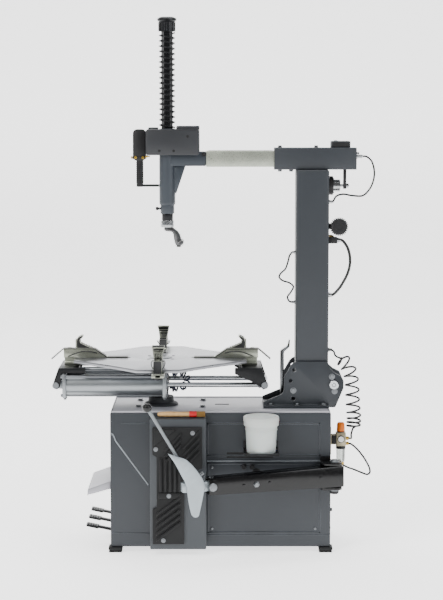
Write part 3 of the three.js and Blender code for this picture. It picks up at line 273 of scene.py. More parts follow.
hose("air_hose_regulator", eased([
    (658, -60, 305.4), (658, -60, 300), (676, -61, 289), (700, -64, 281), (728, -67, 270),
    (748, -70, 264), (757, -71, 270), (757, -72, 284), (744, -73, 312), (724, -74, 342),
    (704, -73, 364), (688, -64, 375), (680, -60, 376), (671.6, -60, 376)]),
    3.4, "root", black_hose, "regulator_hose")
hose("air_hose_table", wound(
    [Vector((30.8, 0, 570)), Vector((35, 0, 570))],
    eased([(40, 0, 570), (50, 0, 570), (82, 0, 577), (97, 0, 598), (82, 0, 620), (50, 0, 627),
           (40, 0, 627)]),
    [i / 9 for i in range(10)], [Vector((35, 0, 627)), Vector((30.8, 0, 627))], 11, 0.5),
    3.6, "turntable", blue_hose, "table_hose")

# The curly supply hose crosses the column's tilt; it is one fixed mesh that rides on no body.
curly_path = wound(
    eased([(605.8, -40, 716), (615, -40, 716), (625, -58, 711), (628, -80, 702), (634, -98, 698),
           (641, -114, 697)]),
    eased([(646, -118, 694), (652, -118, 690), (672, -118, 664), (684, -118, 628), (688, -118, 584),
           (691, -118, 530), (695, -118, 480), (693, -118, 444)]),
    [0.0, 0.19, 0.34, 0.46, 0.58, 0.67, 0.76, 0.83, 0.895, 0.95, 1.0],
    eased([(691, -115, 440), (686, -114, 420), (688, -96, 404), (688, -74, 397), (682, -60, 395),
           (671.6, -60, 395)]), 23.5, 0.5)
curly_radius = 3.5
curly_mesh = bmesh.new()
tube(curly_mesh, curly_path, curly_radius)
curly_hose = finished("air_hose_curly", curly_mesh, black_hose)
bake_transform(curly_hose)
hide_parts("coil_air_hose")


# ---- Cabinet -------------------------------------------------------------------------------------
# Folded 3 mm sheet steel, spot welded and powder coated slate grey. Its front is stiffened by
# pressed frames, a folded ledge, and one bent crease; the rear has a screwed access panel.
#
# Powder coat cures to a fine orange peel that spreads the light, and rubs paler on its edges.
slate = finish_of("slate powder coat", "#272b30", 0.46, metallic=0.15, tone=0.035, grain_mm=0.9,
                  spread=0.05, bump=0.22, worn="#5b6167")
# Painted highlight: the folded ledge and the bent crease are drawn in a paler, smoother paint where they
# catch the light.
painted_highlight_fold = finish_of("painted highlight on a fold", "#878d92", 0.36, metallic=0.3, grain_mm=0.9, bump=0.15)
# Painted shade: a near black sheet stands in for the shade inside openings, slots and holes.
painted_shade_gap = finish_of("painted shade in an opening", "#060607", 0.8, grain_mm=4, bump=0.0)
# Bright zinc plate: grey, and softened by fine grain.
zinc_bolt = finish_of("zinc plated bolt", "#75787b", 0.36, metallic=1.0, tone=0.08, tone_mm=14, grain_mm=0.6)


def cuboid(mesh, low, high, soften=1.5, finish=0, segments=2):
    """A box between two corners, its edges rounded by soften."""
    verts = bmesh.ops.create_cube(mesh, size=1)["verts"]
    for vert in verts:
        vert.co = Vector([a + (c + 0.5) * (b - a) for a, b, c in zip(low, high, vert.co)])
    faces = {face for vert in verts for face in vert.link_faces}
    for face in faces:
        face.material_index = finish
    edges = list({edge for face in faces for edge in face.edges})
    bmesh.ops.bevel(mesh, geom=edges, offset=soften, segments=segments, profile=0.5, affect="EDGES")


def slab(mesh, axis, outline, low, high, soften=1.0, finish=0):
    """An outline in the plane across axis, drawn out from low to high, its edges rounded."""
    turn = {"x": lambda u, v, w: (w, u, v), "y": lambda u, v, w: (u, w, v), "z": lambda u, v, w: (u, v, w)}
    near = [mesh.verts.new(turn[axis](u, v, low)) for u, v in outline]
    far = [mesh.verts.new(turn[axis](u, v, high)) for u, v in outline]
    faces = [mesh.faces.new(near[::-1]), mesh.faces.new(far)]
    for i in range(len(near)):
        j = (i + 1) % len(near)
        faces.append(mesh.faces.new((near[i], near[j], far[j], far[i])))
    for face in faces:
        face.material_index = finish
    bmesh.ops.recalc_face_normals(mesh, faces=faces)
    if soften:
        edges = [edge for edge in {edge for face in faces for edge in face.edges}
                 if edge.calc_face_angle(0) > math.radians(24)]
        bmesh.ops.bevel(mesh, geom=edges, offset=soften, segments=2, profile=0.5, affect="EDGES")


def lathe(mesh, axis, centre, profile, sides=36, finish=0):
    """Turns a profile of (place along the axis, radius) round the axis through centre."""
    turn = {"x": lambda a, u, v: (a, u, v), "y": lambda a, u, v: (u, a, v), "z": lambda a, u, v: (u, v, a)}
    rings = []
    for along, radius in profile:
        count = sides if radius > 1e-6 else 1
        rings.append([mesh.verts.new(Vector(centre) + Vector(turn[axis](
            along, radius * math.cos(2 * math.pi * k / sides), radius * math.sin(2 * math.pi * k / sides))))
            for k in range(count)])
    for ring, following in zip(rings, rings[1:]):
        for k in range(sides):
            corners = [ring[k % len(ring)], ring[(k + 1) % len(ring)],
                       following[(k + 1) % len(following)], following[k % len(following)]]
            unique = list(dict.fromkeys(corners))
            if len(unique) > 2:
                mesh.faces.new(unique).material_index = finish


def rounded(x0, x1, z0, z1, radius, steps=4):
    """The outline of a rectangle with rounded corners."""
    outline = []
    for x, z, start in ((x1 - radius, z1 - radius, 0), (x0 + radius, z1 - radius, 90),
                        (x0 + radius, z0 + radius, 180), (x1 - radius, z0 + radius, 270)):
        for k in range(steps + 1):
            angle = math.radians(start + 90 * k / steps)
            outline.append((x + radius * math.cos(angle), z + radius * math.sin(angle)))
    return outline


def repeat_tree():
    """Geometry nodes that put a copy of Unit on every point, turned by the point's turn."""
    tree = bpy.data.node_groups.new("repeat on points", "GeometryNodeTree")
    tree.interface.new_socket("Geometry", in_out="OUTPUT", socket_type="NodeSocketGeometry")
    tree.interface.new_socket("Geometry", in_out="INPUT", socket_type="NodeSocketGeometry")
    tree.interface.new_socket("Unit", in_out="INPUT", socket_type="NodeSocketObject")
    tree.interface.new_socket("Size", in_out="INPUT", socket_type="NodeSocketFloat")
    tree.interface.new_socket("Finish", in_out="INPUT", socket_type="NodeSocketMaterial")
    given = add_node(tree, "NodeGroupInput").outputs
    unit = add_node(tree, "GeometryNodeObjectInfo", {"Object": given["Unit"]})
    turn = add_node(tree, "GeometryNodeInputNamedAttribute", {"Name": "turn"}, data_type="FLOAT_VECTOR")
    spin = add_node(tree, "FunctionNodeEulerToRotation", {"Euler": turn.outputs["Attribute"]})
    copies = add_node(tree, "GeometryNodeInstanceOnPoints", {
        "Points": given["Geometry"], "Instance": unit.outputs["Geometry"],
        "Rotation": spin.outputs["Rotation"], "Scale": given["Size"]})
    real = add_node(tree, "GeometryNodeRealizeInstances", {"Geometry": copies.outputs["Instances"]})
    painted = add_node(tree, "GeometryNodeSetMaterial", {
        "Geometry": real.outputs["Geometry"], "Material": given["Finish"]})
    add_node(tree, "NodeGroupOutput", {"Geometry": painted.outputs["Geometry"]})
    return tree


on_points = repeat_tree()


def baked(piece, tree, sizes):
    """Runs a geometry node tree on a piece and keeps the result as its plain mesh."""
    modifier = piece.modifiers.new("repeat", "NODES")
    modifier.node_group = tree
    for item in tree.interface.items_tree:
        if item.in_out == "INPUT" and item.name in sizes:
            modifier[item.identifier] = sizes[item.name]
    bpy.context.view_layer.update()
    graph = bpy.context.evaluated_depsgraph_get()
    result = bpy.data.meshes.new_from_object(piece.evaluated_get(graph))
    piece.modifiers.remove(modifier)
    piece.data = result
    return piece


def repeated(name, unit_mesh, places, material, body, size=1.0):
    """Sets a small part, drawn in millimetres about its own origin, at each of places: x, y, z and,
    where it is turned, its turns about X, Y and Z in degrees."""
    bmesh.ops.scale(unit_mesh, vec=(0.001, 0.001, 0.001), verts=unit_mesh.verts)
    bmesh.ops.recalc_face_normals(unit_mesh, faces=unit_mesh.faces)
    for edge in unit_mesh.edges:
        edge.smooth = len(edge.link_faces) == 2 and edge.calc_face_angle(0) < math.radians(32)
    for face in unit_mesh.faces:
        face.smooth = True
    unit_data = bpy.data.meshes.new(name + "_unit")
    unit_mesh.to_mesh(unit_data)
    unit_mesh.free()
    unit = bpy.data.objects.new(name + "_unit", unit_data)
    bpy.context.scene.collection.objects.link(unit)
    points = bpy.data.meshes.new(name)
    points.from_pydata([at(*place[:3]) for place in places], [], [])
    turns = points.attributes.new("turn", "FLOAT_VECTOR", "POINT")
    for i, place in enumerate(places):
        turns.data[i].vector = [math.radians(a) for a in (list(place[3:]) or [0, 0, 0])]
    piece = bpy.data.objects.new(name, points)
    bpy.context.scene.collection.objects.link(piece)
    baked(piece, on_points, {"Unit": unit, "Size": size, "Finish": material})
    bpy.data.objects.remove(unit)
    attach(piece, body)
    return piece


def hex_bolt(across=8.0, height=5.0, washer=11.0):
    """A hexagon head on its washer, standing up along Z from its own origin."""
    mesh = bmesh.new()
    lathe(mesh, "z", (0, 0, 0), [(0, 0), (0, washer * 0.9), (0.3, washer), (1.4, washer), (1.7, 0)], 20)
    lathe(mesh, "z", (0, 0, 0), [(1.6, 0), (1.6, across), (height - 0.8, across), (height, across * 0.88),
                                 (height, 0)], 6)
    return mesh


def socket_screw(radius=5.0, height=3.2):
    """A domed screw head with a socket, standing up along Z from its own origin."""
    mesh = bmesh.new()
    lathe(mesh, "z", (0, 0, 0), [
        (0, 0), (0, radius), (height * 0.45, radius), (height * 0.85, radius * 0.75),
        (height, radius * 0.48), (height, radius * 0.42), (height * 0.3, radius * 0.36),
        (height * 0.3, 0)], 18)
    return mesh


cabinet_mesh = bmesh.new()
cuboid(cabinet_mesh, (-177, -166, 20), (610, 166, 505), soften=4, segments=3)
for x0, x1, z0, z1 in ((167, 573, 349, 471), (168, 575, 69, 326)):
    for low, high in (((x0, z0), (x1, z0 + 7)), ((x0, z1 - 7), (x1, z1)),
                      ((x0, z0), (x0 + 7, z1)), ((x1 - 7, z0), (x1, z1))):
        cuboid(cabinet_mesh, (low[0], -167.6, low[1]), (high[0], -164, high[1]), soften=1.4)
# The folded ledge in the paler paint: a painted highlight.
cuboid(cabinet_mesh, (168, -169.5, 330), (607, -164, 335.5), soften=1.6, finish=2)
cuboid(cabinet_mesh, (-175.5, -167, 68), (-36, -164, 71.5), soften=0.8)
cuboid(cabinet_mesh, (168, -167, 62), (608, -164, 65.5), soften=0.8)
cuboid(cabinet_mesh, (-138, -167.2, 467), (-40, -164, 471), soften=1)
# The bent crease, a raised line in the paler paint: a painted highlight.
tube(cabinet_mesh, [(-176, -165.6, 432.4), (-168, -165.6, 429), (-162, -165.6, 418), (-157, -165.6, 404),
                    (-41, -165.6, 245)], 2.4, finish=2)
cuboid(cabinet_mesh, (-60, 164, 70), (470, 168, 440), soften=1.5)
cuboid(cabinet_mesh, (607, -120, 60), (611.6, 120, 260), soften=1.2)
# Near black sheets over a front slot, the three pedal openings and a round hole in the front: painted shade.
cuboid(cabinet_mesh, (238, -166.4, 343), (405, -164, 364), soften=0.3, finish=1)
for y in (-120, 8, 136):
    cuboid(cabinet_mesh, (-177.4, y - 18, 46), (-175, y + 18, 99), soften=0.3, finish=1)
lathe(cabinet_mesh, "y", (345, 0, 289.5), [(-164, 0), (-166.5, 0), (-166.5, 16), (-164, 16)], finish=1)
finished("cabinet_shell", cabinet_mesh, [slate, painted_shade_gap, painted_highlight_fold], "root", ["cabinet"])
repeated("cabinet_screws", socket_screw(), [
    (x, 168, z, -90, 0, 0) for x in (-45, 125, 290, 455) for z in (85, 425)] + [
    (x, -166, z, 90, 0, 0) for x in (186, 555) for z in (86, 309)] + [
    (611.6, y, z, 0, 90, 0) for y in (-105, 105) for z in (75, 245)], zinc_bolt, "root")

# Louvres pressed through the rear panel to cool the motor.
louvre = bmesh.new()
slab(louvre, "x", [(0, -4), (5, -2), (5.5, 0), (0, 7)], -34, 34, soften=0.6)
repeated("rear_louvres", louvre, [(210 + 86 * i, 168, 250 + 16 * k) for i in (0, 1) for k in range(7)],
         slate, "root")

# ---- Tray ----------------------------------------------------------------------------------------
# A pressed steel tray painted pale grey, with a turned-up lip, on top of the cabinet. Four bolts hold
# the gearbox through it, and small change is kept from rolling off by its lip.
#
# Pale satin paint, worn a little at the lip.
tray_grey = finish_of("pale grey tray paint", "#a1a1a7", 0.42, metallic=0.25, tone=0.05, grain_mm=1.0,
                      bump=0.18, worn="#85878a")
tray_mesh = bmesh.new()
cuboid(tray_mesh, (-174, -163, 505.3), (607, 163, 509.3), soften=1.2)
for low, high in (((-174, -163), (607, -160)), ((-174, 160), (607, 163)), ((-174, -163), (-171, 163)),
                  ((604, -163), (607, 163))):
    cuboid(tray_mesh, (*low, 506), (*high, 512.5), soften=1.2)
# A near black sheet over the gearbox slot: painted shade.
cuboid(tray_mesh, (196, -9, 508.6), (248, 9, 509.9), soften=0.5, finish=1)
finished("tray", tray_mesh, [tray_grey, painted_shade_gap], "root", ["top_tray"])
repeated("tray_bolts", hex_bolt(9, 7, 13), [
    (x, y, 509.3) for x in (-80, 152) for y in (-54, 92)], zinc_bolt, "root")

# ---- Feet ----------------------------------------------------------------------------------------
# Moulded rubber blocks, tapering slightly to the floor and grooved round, bolted under the corners.
#
# Moulded rubber is matt and near black, with a faint pebble.
rubber = finish_of("black moulded rubber", "#0f1011", 0.66, tone=0.1, grain_mm=0.8, bump=0.35, sheen=0.05,
                   gloss=0.3)
for end in ("front", "rear"):
    for side in ("left", "right"):
        node = f"foot_{end}_{side}"
        low, high = [to_metres.inverted() @ corner for corner in map(Vector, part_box(node))]
        foot = bmesh.new()
        cuboid(foot, (low.x + 1.5, low.y + 1.5, 0), (high.x - 1.5, high.y - 1.5, 7), soften=2.2)
        cuboid(foot, (low.x + 3, low.y + 3, 5), (high.x - 3, high.y - 3, 11), soften=0.8)
        cuboid(foot, (low.x, low.y, 9), (high.x, high.y, 19.7), soften=2.5)
        finished(f"rubber_{node}", foot, rubber, "root", [node])

# ---- Bead breaker's wall -------------------------------------------------------------------------
# A folded steel panel stands out from the cabinet for the tyre to lean on. A moulded rubber pad is
# bolted to it, with chevrons at the top, upright ribs in the middle and slanting ribs below.
#
# The same powder coat as the cabinet's, in a lighter grey.
panel_grey = finish_of("mid grey powder coat", "#363a3e", 0.47, metallic=0.15, tone=0.035, grain_mm=0.9,
                       bump=0.2, worn="#8b9297")
panel_mesh = bmesh.new()
cuboid(panel_mesh, (-34, -226.3, 24), (166, -166.3, 495), soften=5, segments=3)
for x in (-34.4, 164.6):
    cuboid(panel_mesh, (x, -214, 40), (x + 1.8, -178, 480), soften=0.7)
finished("wall_panel", panel_mesh, panel_grey, "root", ["pad_panel"])
pad_mesh = bmesh.new()
slab(pad_mesh, "y", [(-24, 46), (88, 46), (88, 298), (152, 318), (152, 466), (-24, 466), (-24, 368),
                     (-9, 360), (-9, 180), (-24, 172)], -239, -226.6, soften=2.5)
slab(pad_mesh, "y", [(-18, 402), (60, 460), (-18, 460)], -245, -238, soften=2)
slab(pad_mesh, "y", [(-3, 212), (80, 212), (80, 232), (-3, 232)], -245, -238, soften=2)
finished("rubber_pad_body", pad_mesh, rubber, "root", ["rubber_pad"])
rib = bmesh.new()
slab(rib, "y", [(-4.5, -60), (4.5, -60), (4.5, 60), (-4.5, 60)], 0, 9, soften=2.2)
repeated("pad_upright_ribs", rib, [(5 + 17 * k, -247.2, 296) for k in range(5)], rubber, "root")
rib = bmesh.new()
slab(rib, "y", [(-28, -32), (-20, -32), (34, 26), (34, 34)], 0, 9, soften=2)
repeated("pad_chevrons", rib, [(110, -247.2, 352 + 24 * k) for k in range(4)]
         + [(44, -247.2, 372 + 21 * k) for k in range(3)], rubber, "root")
rib = bmesh.new()
slab(rib, "y", [(-42, -26), (-42, -36), (44, 28), (44, 38)], 0, 9, soften=2)
repeated("pad_slanting_ribs", rib, [(31, -247.2, 92 + 23 * k) for k in range(5)], rubber, "root")
repeated("pad_bolts", hex_bolt(5.5, 4, 8), [
    (118, -239, 446, 90, 0, 0), (34, -245, 222, 90, 0, 0), (14, -239, 60, 90, 0, 0),
    (-12, -239, 388, 90, 0, 0)], zinc_bolt, "root")

# ---- Pedals and hood -----------------------------------------------------------------------------
# Three pressed steel levers turn on one axle inside the cabinet, each with a ribbed foot plate. A
# folded pale sheet over them keeps tyres and falling tools off.
#
# Satin black over steel shows broad soft highlights and grey edges.
satin_black = finish_of("satin black paint", "#121315", 0.42, gloss=0.3, metallic=0.3, tone=0.06,
                        grain_mm=0.8, bump=0.2, worn="#6f7276")
hood_mesh = bmesh.new()
slab(hood_mesh, "y", [(-177.3, 226), (-177.3, 256), (-259.3, 226), (-261.3, 204), (-258.3, 204),
                      (-256.3, 223), (-180.3, 251), (-180.3, 226)], -150, 150, soften=0.8)
for y in (-150, 147):
    slab(hood_mesh, "y", [(-178, 228), (-178, 254), (-258, 225), (-259, 206), (-240, 210)], y, y + 3,
         soften=0.6)
finished("pedal_hood_sheet", hood_mesh, tray_grey, "root", ["pedal_hood"])
for name, y in (("pedal_tilt", -120), ("pedal_clamp", 8), ("pedal_rotate", 136)):
    lever = bmesh.new()
    cuboid(lever, (-116, -11, -4), (0, 11, 4), soften=2)
    lathe(lever, "y", (0, 0, 0), [(-14, 8.4), (-14, 14), (14, 14), (14, 8.4), (-14, 8.4)], 28)
    slab(lever, "z", rounded(-158, -112, -23, 23, 8), -4, 3, soften=1.5)
    for k in range(5):
        cuboid(lever, (-153 + 9 * k, -17, 2), (-149 + 9 * k, 17, 5), soften=1.2, finish=1)
    turned = Matrix.Translation((-112, y, 60)) @ Matrix.Rotation(math.radians(12), 4, "Y")
    bmesh.ops.transform(lever, matrix=turned, verts=lever.verts)
    finished(f"{name}_lever", lever, [satin_black, rubber], name, [name])

# ---- Drive ---------------------------------------------------------------------------------------
# Inside the cabinet a hung motor drives a worm gearbox through a flat belt; only the gearbox's
# turret shows, rising through the tray. The parts are cast iron, aluminium and reinforced rubber.
#
# Sand cast and painted: a coarse skin without a clear highlight.
cast_iron = finish_of("painted cast iron", "#2e3033", 0.6, metallic=0.35, tone=0.08, grain_mm=2.2,
                      spread=0.1, bump=0.6)
# Die cast and left bare: light grey, slightly rough.
motor_aluminium = finish_of("cast aluminium", "#a6abae", 0.48, metallic=0.9, grain_mm=1.6, bump=0.4)
# A reinforced belt is fully matt, with grain across it.
belt_rubber = finish_of("reinforced belt rubber", "#151517", 0.75, grain_mm=1.0, stretch=(1, 8, 1), bump=0.4)
# Ground and hard chromed: nearly a mirror.
rod_chrome = finish_of("hard chrome", "#b4b7ba", 0.13, metallic=1.0, tone=0.02, grain_mm=0.5,
                       stretch=(0.05, 1, 1), spread=0.04, bump=0.04)


def dress(material, *nodes):
    """Gives a carried-over solid its finish."""
    for node in nodes:
        data = frame["nodes"][node].data
        data.materials.clear()
        data.materials.append(material)


dress(cast_iron, "gearbox", "gearbox_pulley", "motor_pulley")
dress(motor_aluminium, "motor", "breaker_cylinder")
dress(belt_rubber, "drive_belt")
dress(rod_chrome, "breaker_rod")
turret = bmesh.new()
lathe(turret, "z", (0, 0, 0), [(509.6, 62), (514, 62), (518, 58), (522, 47), (541, 45), (541, 31)], 48)
finished("turret_collar", turret, cast_iron, "root")
repeated("turret_bolts", socket_screw(4.5, 4), [
    (54 * math.cos(math.radians(60 * k)), 54 * math.sin(math.radians(60 * k)), 514.5) for k in range(6)],
    zinc_bolt, "root")

# ---- Turntable -----------------------------------------------------------------------------------
# A 12 mm steel plate, flame cut to a cross with hollow sides, faced on a lathe and plated. It turns
# on a keyed spindle, and each of its four arms has a slot for a jaw.
#
# Facing leaves rings round the axis that draw each highlight out; they are coarser than real.
plate_steel = finish_of("turned plate steel", "#96979b", 0.33, metallic=0.95, tone=0.07, tone_mm=160,
                        grain_mm=1.1, spread=0.08, bump=0.1)
plate_tree = plate_steel.node_tree
drawn = next(node for node in plate_tree.nodes if node.type == "MAPPING")
from_axis = add_node(plate_tree, "ShaderNodeVectorMath", {
    0: drawn.inputs["Vector"].links[0].from_socket, 1: at(0, 0, 682)}, operation="SUBTRACT")
reach = add_node(plate_tree, "ShaderNodeVectorMath", {0: from_axis.outputs["Vector"]}, operation="LENGTH")
turned_line = add_node(plate_tree, "ShaderNodeCombineXYZ", {"X": reach.outputs["Value"]})
plate_tree.links.new(turned_line.outputs["Vector"], drawn.inputs["Vector"])
plate_outline = []
for quarter in range(4):
    turn = Matrix.Rotation(math.radians(90 * quarter), 2)
    arm_line = [(311, -75), (311, -10), (118, -10), (111, -6), (109, 0), (111, 6), (118, 10), (311, 10),
                (311, 75)]
    for k in range(1, 9):
        t = k / 9
        arm_line.append(tuple(311 * (1 - t) ** 2 + 2 * 181 * t * (1 - t) + 75 * t ** 2 if i == 0 else
                              75 * (1 - t) ** 2 + 2 * 181 * t * (1 - t) + 311 * t ** 2 for i in (0, 1)))
    plate_outline += [turn @ Vector(point) for point in arm_line]
plate_mesh = bmesh.new()
slab(plate_mesh, "z", plate_outline, 670, 682, soften=1.2)
finished("turntable_face", plate_mesh, plate_steel, "turntable", ["turntable_plate"])
hub_mesh = bmesh.new()
lathe(hub_mesh, "z", (0, 0, 0), [(682.1, 0), (682.1, 40), (683.4, 42), (685, 40), (685.6, 24), (684, 22),
                                 (684, 0)], 48)
for k in range(4):
    angle = math.radians(90 * k + 45)
    lathe(hub_mesh, "z", (62 * math.cos(angle), 62 * math.sin(angle), 0),
          [(682.1, 0), (682.1, 6), (683.6, 5), (683.6, 0)], 14)
finished("turntable_cap", hub_mesh, zinc_bolt, "turntable")
spindle_mesh = bmesh.new()
lathe(spindle_mesh, "z", (0, 0, 0), [
    (360.4, 0), (360.4, 30), (545, 30), (547, 27), (640, 27), (644, 34), (654, 38), (655.7, 72), (658, 75),
    (668, 75), (669.7, 73), (669.7, 0)], 48)
finished("spindle_shaft", spindle_mesh, satin_black, "turntable", ["spindle"])

# ---- Clamping jaws -------------------------------------------------------------------------------
# Each jaw is a zinc plated slide under a bent strip that lifts the rim, with a cast hook that grips
# from outside. A neck runs in the plate's slot and a wide shoe holds it down from below.
#
# Yellow passivated zinc is a warm grey, streaked along the pressing.
zinc = finish_of("yellowish zinc plate", "#94978b", 0.32, metallic=0.85, tone=0.09, tone_mm=45, grain_mm=0.8,
                 stretch=(0.2, 1, 1), bump=0.12)
# Phosphate leaves a casting dry and black, with bare grey on its worn teeth.
jaw_black = finish_of("phosphated jaw casting", "#0b0b0c", 0.46, metallic=0.2, tone=0.1, grain_mm=1.2,
                      bump=0.5, gloss=0.35, worn="#4d4f51")


def join(mesh, other):
    """Adds one bmesh to another."""
    held = bpy.data.meshes.new("held")
    other.to_mesh(held)
    other.free()
    mesh.from_mesh(held)
    bpy.data.meshes.remove(held)


for name, degrees in (("jaw_right", 0), ("jaw_rear", 90), ("jaw_left", 180), ("jaw_front", 270)):
    jaw = bmesh.new()
    slab(jaw, "y", [(193, 682.4), (353, 682.4), (353, 713), (241, 713), (193, 686.3)], -13, 13, soften=1)
    slab(jaw, "y", [(120, 682.4), (196, 682.4), (241, 713.3), (353, 713.3), (396, 676.3), (399, 679.3),
                    (354, 717.3), (240, 717.3), (194, 686.3), (120, 686.3)], -15, 15, soften=0.7, finish=1)
    cuboid(jaw, (240, -9, 657.9), (350, 9, 684), soften=0.6)
    cuboid(jaw, (240, -22, 657.8), (350, 22, 669.6), soften=1.5)
    hook = bmesh.new()
    slab(hook, "y", [(244, 716.3), (306, 716.3), (308, 741.3), (302, 757.3), (285, 765.3), (281, 760.3),
                     (293, 748.3), (291, 738.3), (270, 727.3)], -23, 23, soften=2, finish=2)
    for k in range(5):
        cuboid(hook, (300, -18 + 8 * k, 720), (310, -14 + 8 * k, 750), soften=1.2, finish=2)
    for k in range(4):
        cuboid(hook, (250 + 9 * k, -20, 717.5 + 2.9 * k), (254 + 9 * k, 20, 723.5 + 3.3 * k), soften=1,
               finish=2)
    for vert in hook.verts:
        vert.co.y *= 0.64 + 0.36 * max(0, vert.co.z - 722) / 43
    join(jaw, hook)
    for side in (-1, 1):
        tube(jaw, eased([(232, 15 * side, 700), (262, 20 * side, 707), (296, 24 * side, 704),
                         (322, 21 * side, 694), (336, 15.5 * side, 688)], 4), 1.8, 8, finish=1)
    lathe(jaw, "z", (332, 0, 0), [(716, 0), (716, 8), (719, 8), (720, 7), (720, 0)], 6, finish=0)
    lathe(jaw, "z", (300, 0, 0), [(657.9, 0), (657.9, 14), (650, 14), (646, 11), (646, 0)], 20, finish=2)
    bmesh.ops.rotate(jaw, cent=(0, 0, 0), matrix=Matrix.Rotation(math.radians(degrees), 3, "Z"),
                     verts=jaw.verts)
    finished(f"{name}_assembly", jaw, [zinc, satin_black, jaw_black], name, [name])

# ---- Clamping cylinders --------------------------------------------------------------------------
# Two 63 mm class air cylinders push the left and right jaws apart through black plate brackets:
# smooth anodised barrels between square heads, tie rods with nuts, and hard chromed piston rods.
#
# Satin anodising is even, with soft streaks along the barrel.
anodised = finish_of("anodised aluminium", "#8b8f92", 0.38, metallic=1.0, tone=0.03, grain_mm=0.9,
                     stretch=(0.04, 1, 1), spread=0.03, bump=0.04)
cheek_foot = [(365, 657.4), (385, 600), (383, 583), (370, 579), (360, 588)]
for name, outline, turn in (
        ("end_bracket_right", [(268, 635.4), (268, 657.4)] + cheek_foot + [(325, 609.4)], 0),
        ("end_bracket_left", [(268, 638), (268, 657.4)] + cheek_foot + [(352, 638)], 180)):
    bracket = bmesh.new()
    cuboid(bracket, (293, -94, 645.4), (365, 94, 657.4), soften=1.5)
    for side in (-1, 1):
        low, high = sorted((93 * side, 101 * side))
        slab(bracket, "y", outline, low, high, soften=1.2)
        lathe(bracket, "y", (375, 0, 594), [(side * 67, 0), (side * 67, 7.8), (side * 104, 7.8),
                                            (side * 104, 0)], 18)
        lathe(bracket, "y", (375, 0, 594), [
            (side * 101, 0), (side * 101, 12), (side * 105, 12), (side * 106, 11), (side * 106, 0)], 20,
            finish=1)
    bmesh.ops.rotate(bracket, cent=(0, 0, 0), matrix=Matrix.Rotation(math.radians(turn), 3, "Z"),
                     verts=bracket.verts)
    body = "jaw_right" if turn == 0 else "jaw_left"
    finished(f"{name}_plates", bracket, [satin_black, zinc_bolt], body, [name])
for place, y in (("front", -80), ("rear", 80)):
    barrel = bmesh.new()
    lathe(barrel, "x", (0, y, 594), [(-338, 0), (-338, 37), (10, 37), (10, 0)], 64)
    for x0, x1 in ((-350, -337), (9, 22)):
        cuboid(barrel, (x0, y - 42, 552), (x1, y + 42, 636), soften=2.5, finish=1)
    lathe(barrel, "x", (0, y, 594), [(21, 10), (21, 17), (26, 16.5), (27, 15), (27, 10)], 32, finish=1)
    slab(barrel, "y", [(-348, 580), (-348, 608), (-383, 606), (-387, 594), (-383, 582)], y - 11, y + 11,
         soften=2, finish=1)
    for dy in (-34, 34):
        for dz in (-34, 34):
            lathe(barrel, "x", (0, y + dy, 594 + dz), [(-339, 0), (-339, 3.6), (12, 3.6), (12, 0)], 10,
                  finish=2)
            for x0 in (-355.5, 22):
                lathe(barrel, "x", (0, y + dy, 594 + dz), [(x0, 0), (x0, 6), (x0 + 5, 6), (x0 + 5, 0)],
                      6, finish=2)
    for x0 in (-343.5, 15.5):
        lathe(barrel, "z", (x0, y, 0), [(552, 4), (552, 7), (545, 7), (544, 5), (540, 5), (540, 0)], 16,
              finish=2)
    # The rear cylinder's heads, collar and clevis take the satin black in place of anodising: painted shade,
    # for the shadow it lies in under the turntable.
    finished(f"clamping_cylinder_{place}", barrel,
             [anodised, satin_black if place == "rear" else anodised, zinc_bolt],
             "jaw_left", [f"air_cylinder_{place}"])
    rod = bmesh.new()
    lathe(rod, "x", (0, y, 594), [(-43, 0), (-43, 8.8), (352, 8.8), (353, 12), (361, 12), (362, 0)], 32)
    lathe(rod, "y", (375, y, 594), [(-11, 8.3), (-11, 14), (11, 14), (11, 8.3), (-11, 8.3)], 32)
    finished(f"piston_rod_{place}_chromed", rod, rod_chrome, "jaw_right", [f"piston_rod_{place}"])

# ---- Column foot ---------------------------------------------------------------------------------
# Two flame-cut 10 mm cheeks welded to a bolted flange carry the column's tilt pin. Stop bolts go in
# the cheeks' front holes.
def carved(mesh, cutter):
    """Takes one closed bmesh away from another."""
    pair = []
    for part in (mesh, cutter):
        data = bpy.data.meshes.new("carved")
        bmesh.ops.recalc_face_normals(part, faces=part.faces)
        part.to_mesh(data)
        part.free()
        pair.append(bpy.data.objects.new("carved", data))
        bpy.context.scene.collection.objects.link(pair[-1])
    cut = pair[0].modifiers.new("cut", "BOOLEAN")
    cut.operation = "DIFFERENCE"
    cut.solver = "EXACT"
    cut.object = pair[1]
    bpy.context.view_layer.update()
    result = bpy.data.meshes.new_from_object(pair[0].evaluated_get(bpy.context.evaluated_depsgraph_get()))
    whole = bmesh.new()
    whole.from_mesh(result)
    for each in pair:
        bpy.data.objects.remove(each)
    return whole


cheek_outline = [(371, 509.6), (371, 530), (434, 556), (442, 564), (445, 574), (445, 619), (470, 663),
                 (478, 671), (489, 676), (598, 676), (605, 670), (612, 650), (629, 634), (653, 623),
                 (661, 605), (660, 579), (632, 512), (626, 509.6)]
foot_mesh = bmesh.new()
cuboid(foot_mesh, (371, -93.7, 509.6), (608, 93.7, 519.6), soften=1.5)
for y0 in (-71.7, 61.7):
    cheek = bmesh.new()
    slab(cheek, "y", cheek_outline, y0, y0 + 10, soften=1.2)
    holes = bmesh.new()
    for x, z in ((482, 646), (469, 606), (479, 541)):
        lathe(holes, "y", (x, 0, z), [(y0 - 5, 0), (y0 - 5, 7.5), (y0 + 15, 7.5), (y0 + 15, 0)], 24)
    join(foot_mesh, carved(cheek, holes))
for y0, y1 in ((-75, -71), (71, 75)):
    tube(foot_mesh, [(372, (y0 + y1) / 2, 520), (607, (y0 + y1) / 2, 520)], 3.2, 8)
finished("column_foot", foot_mesh, slate, "root", ["column_bracket"])
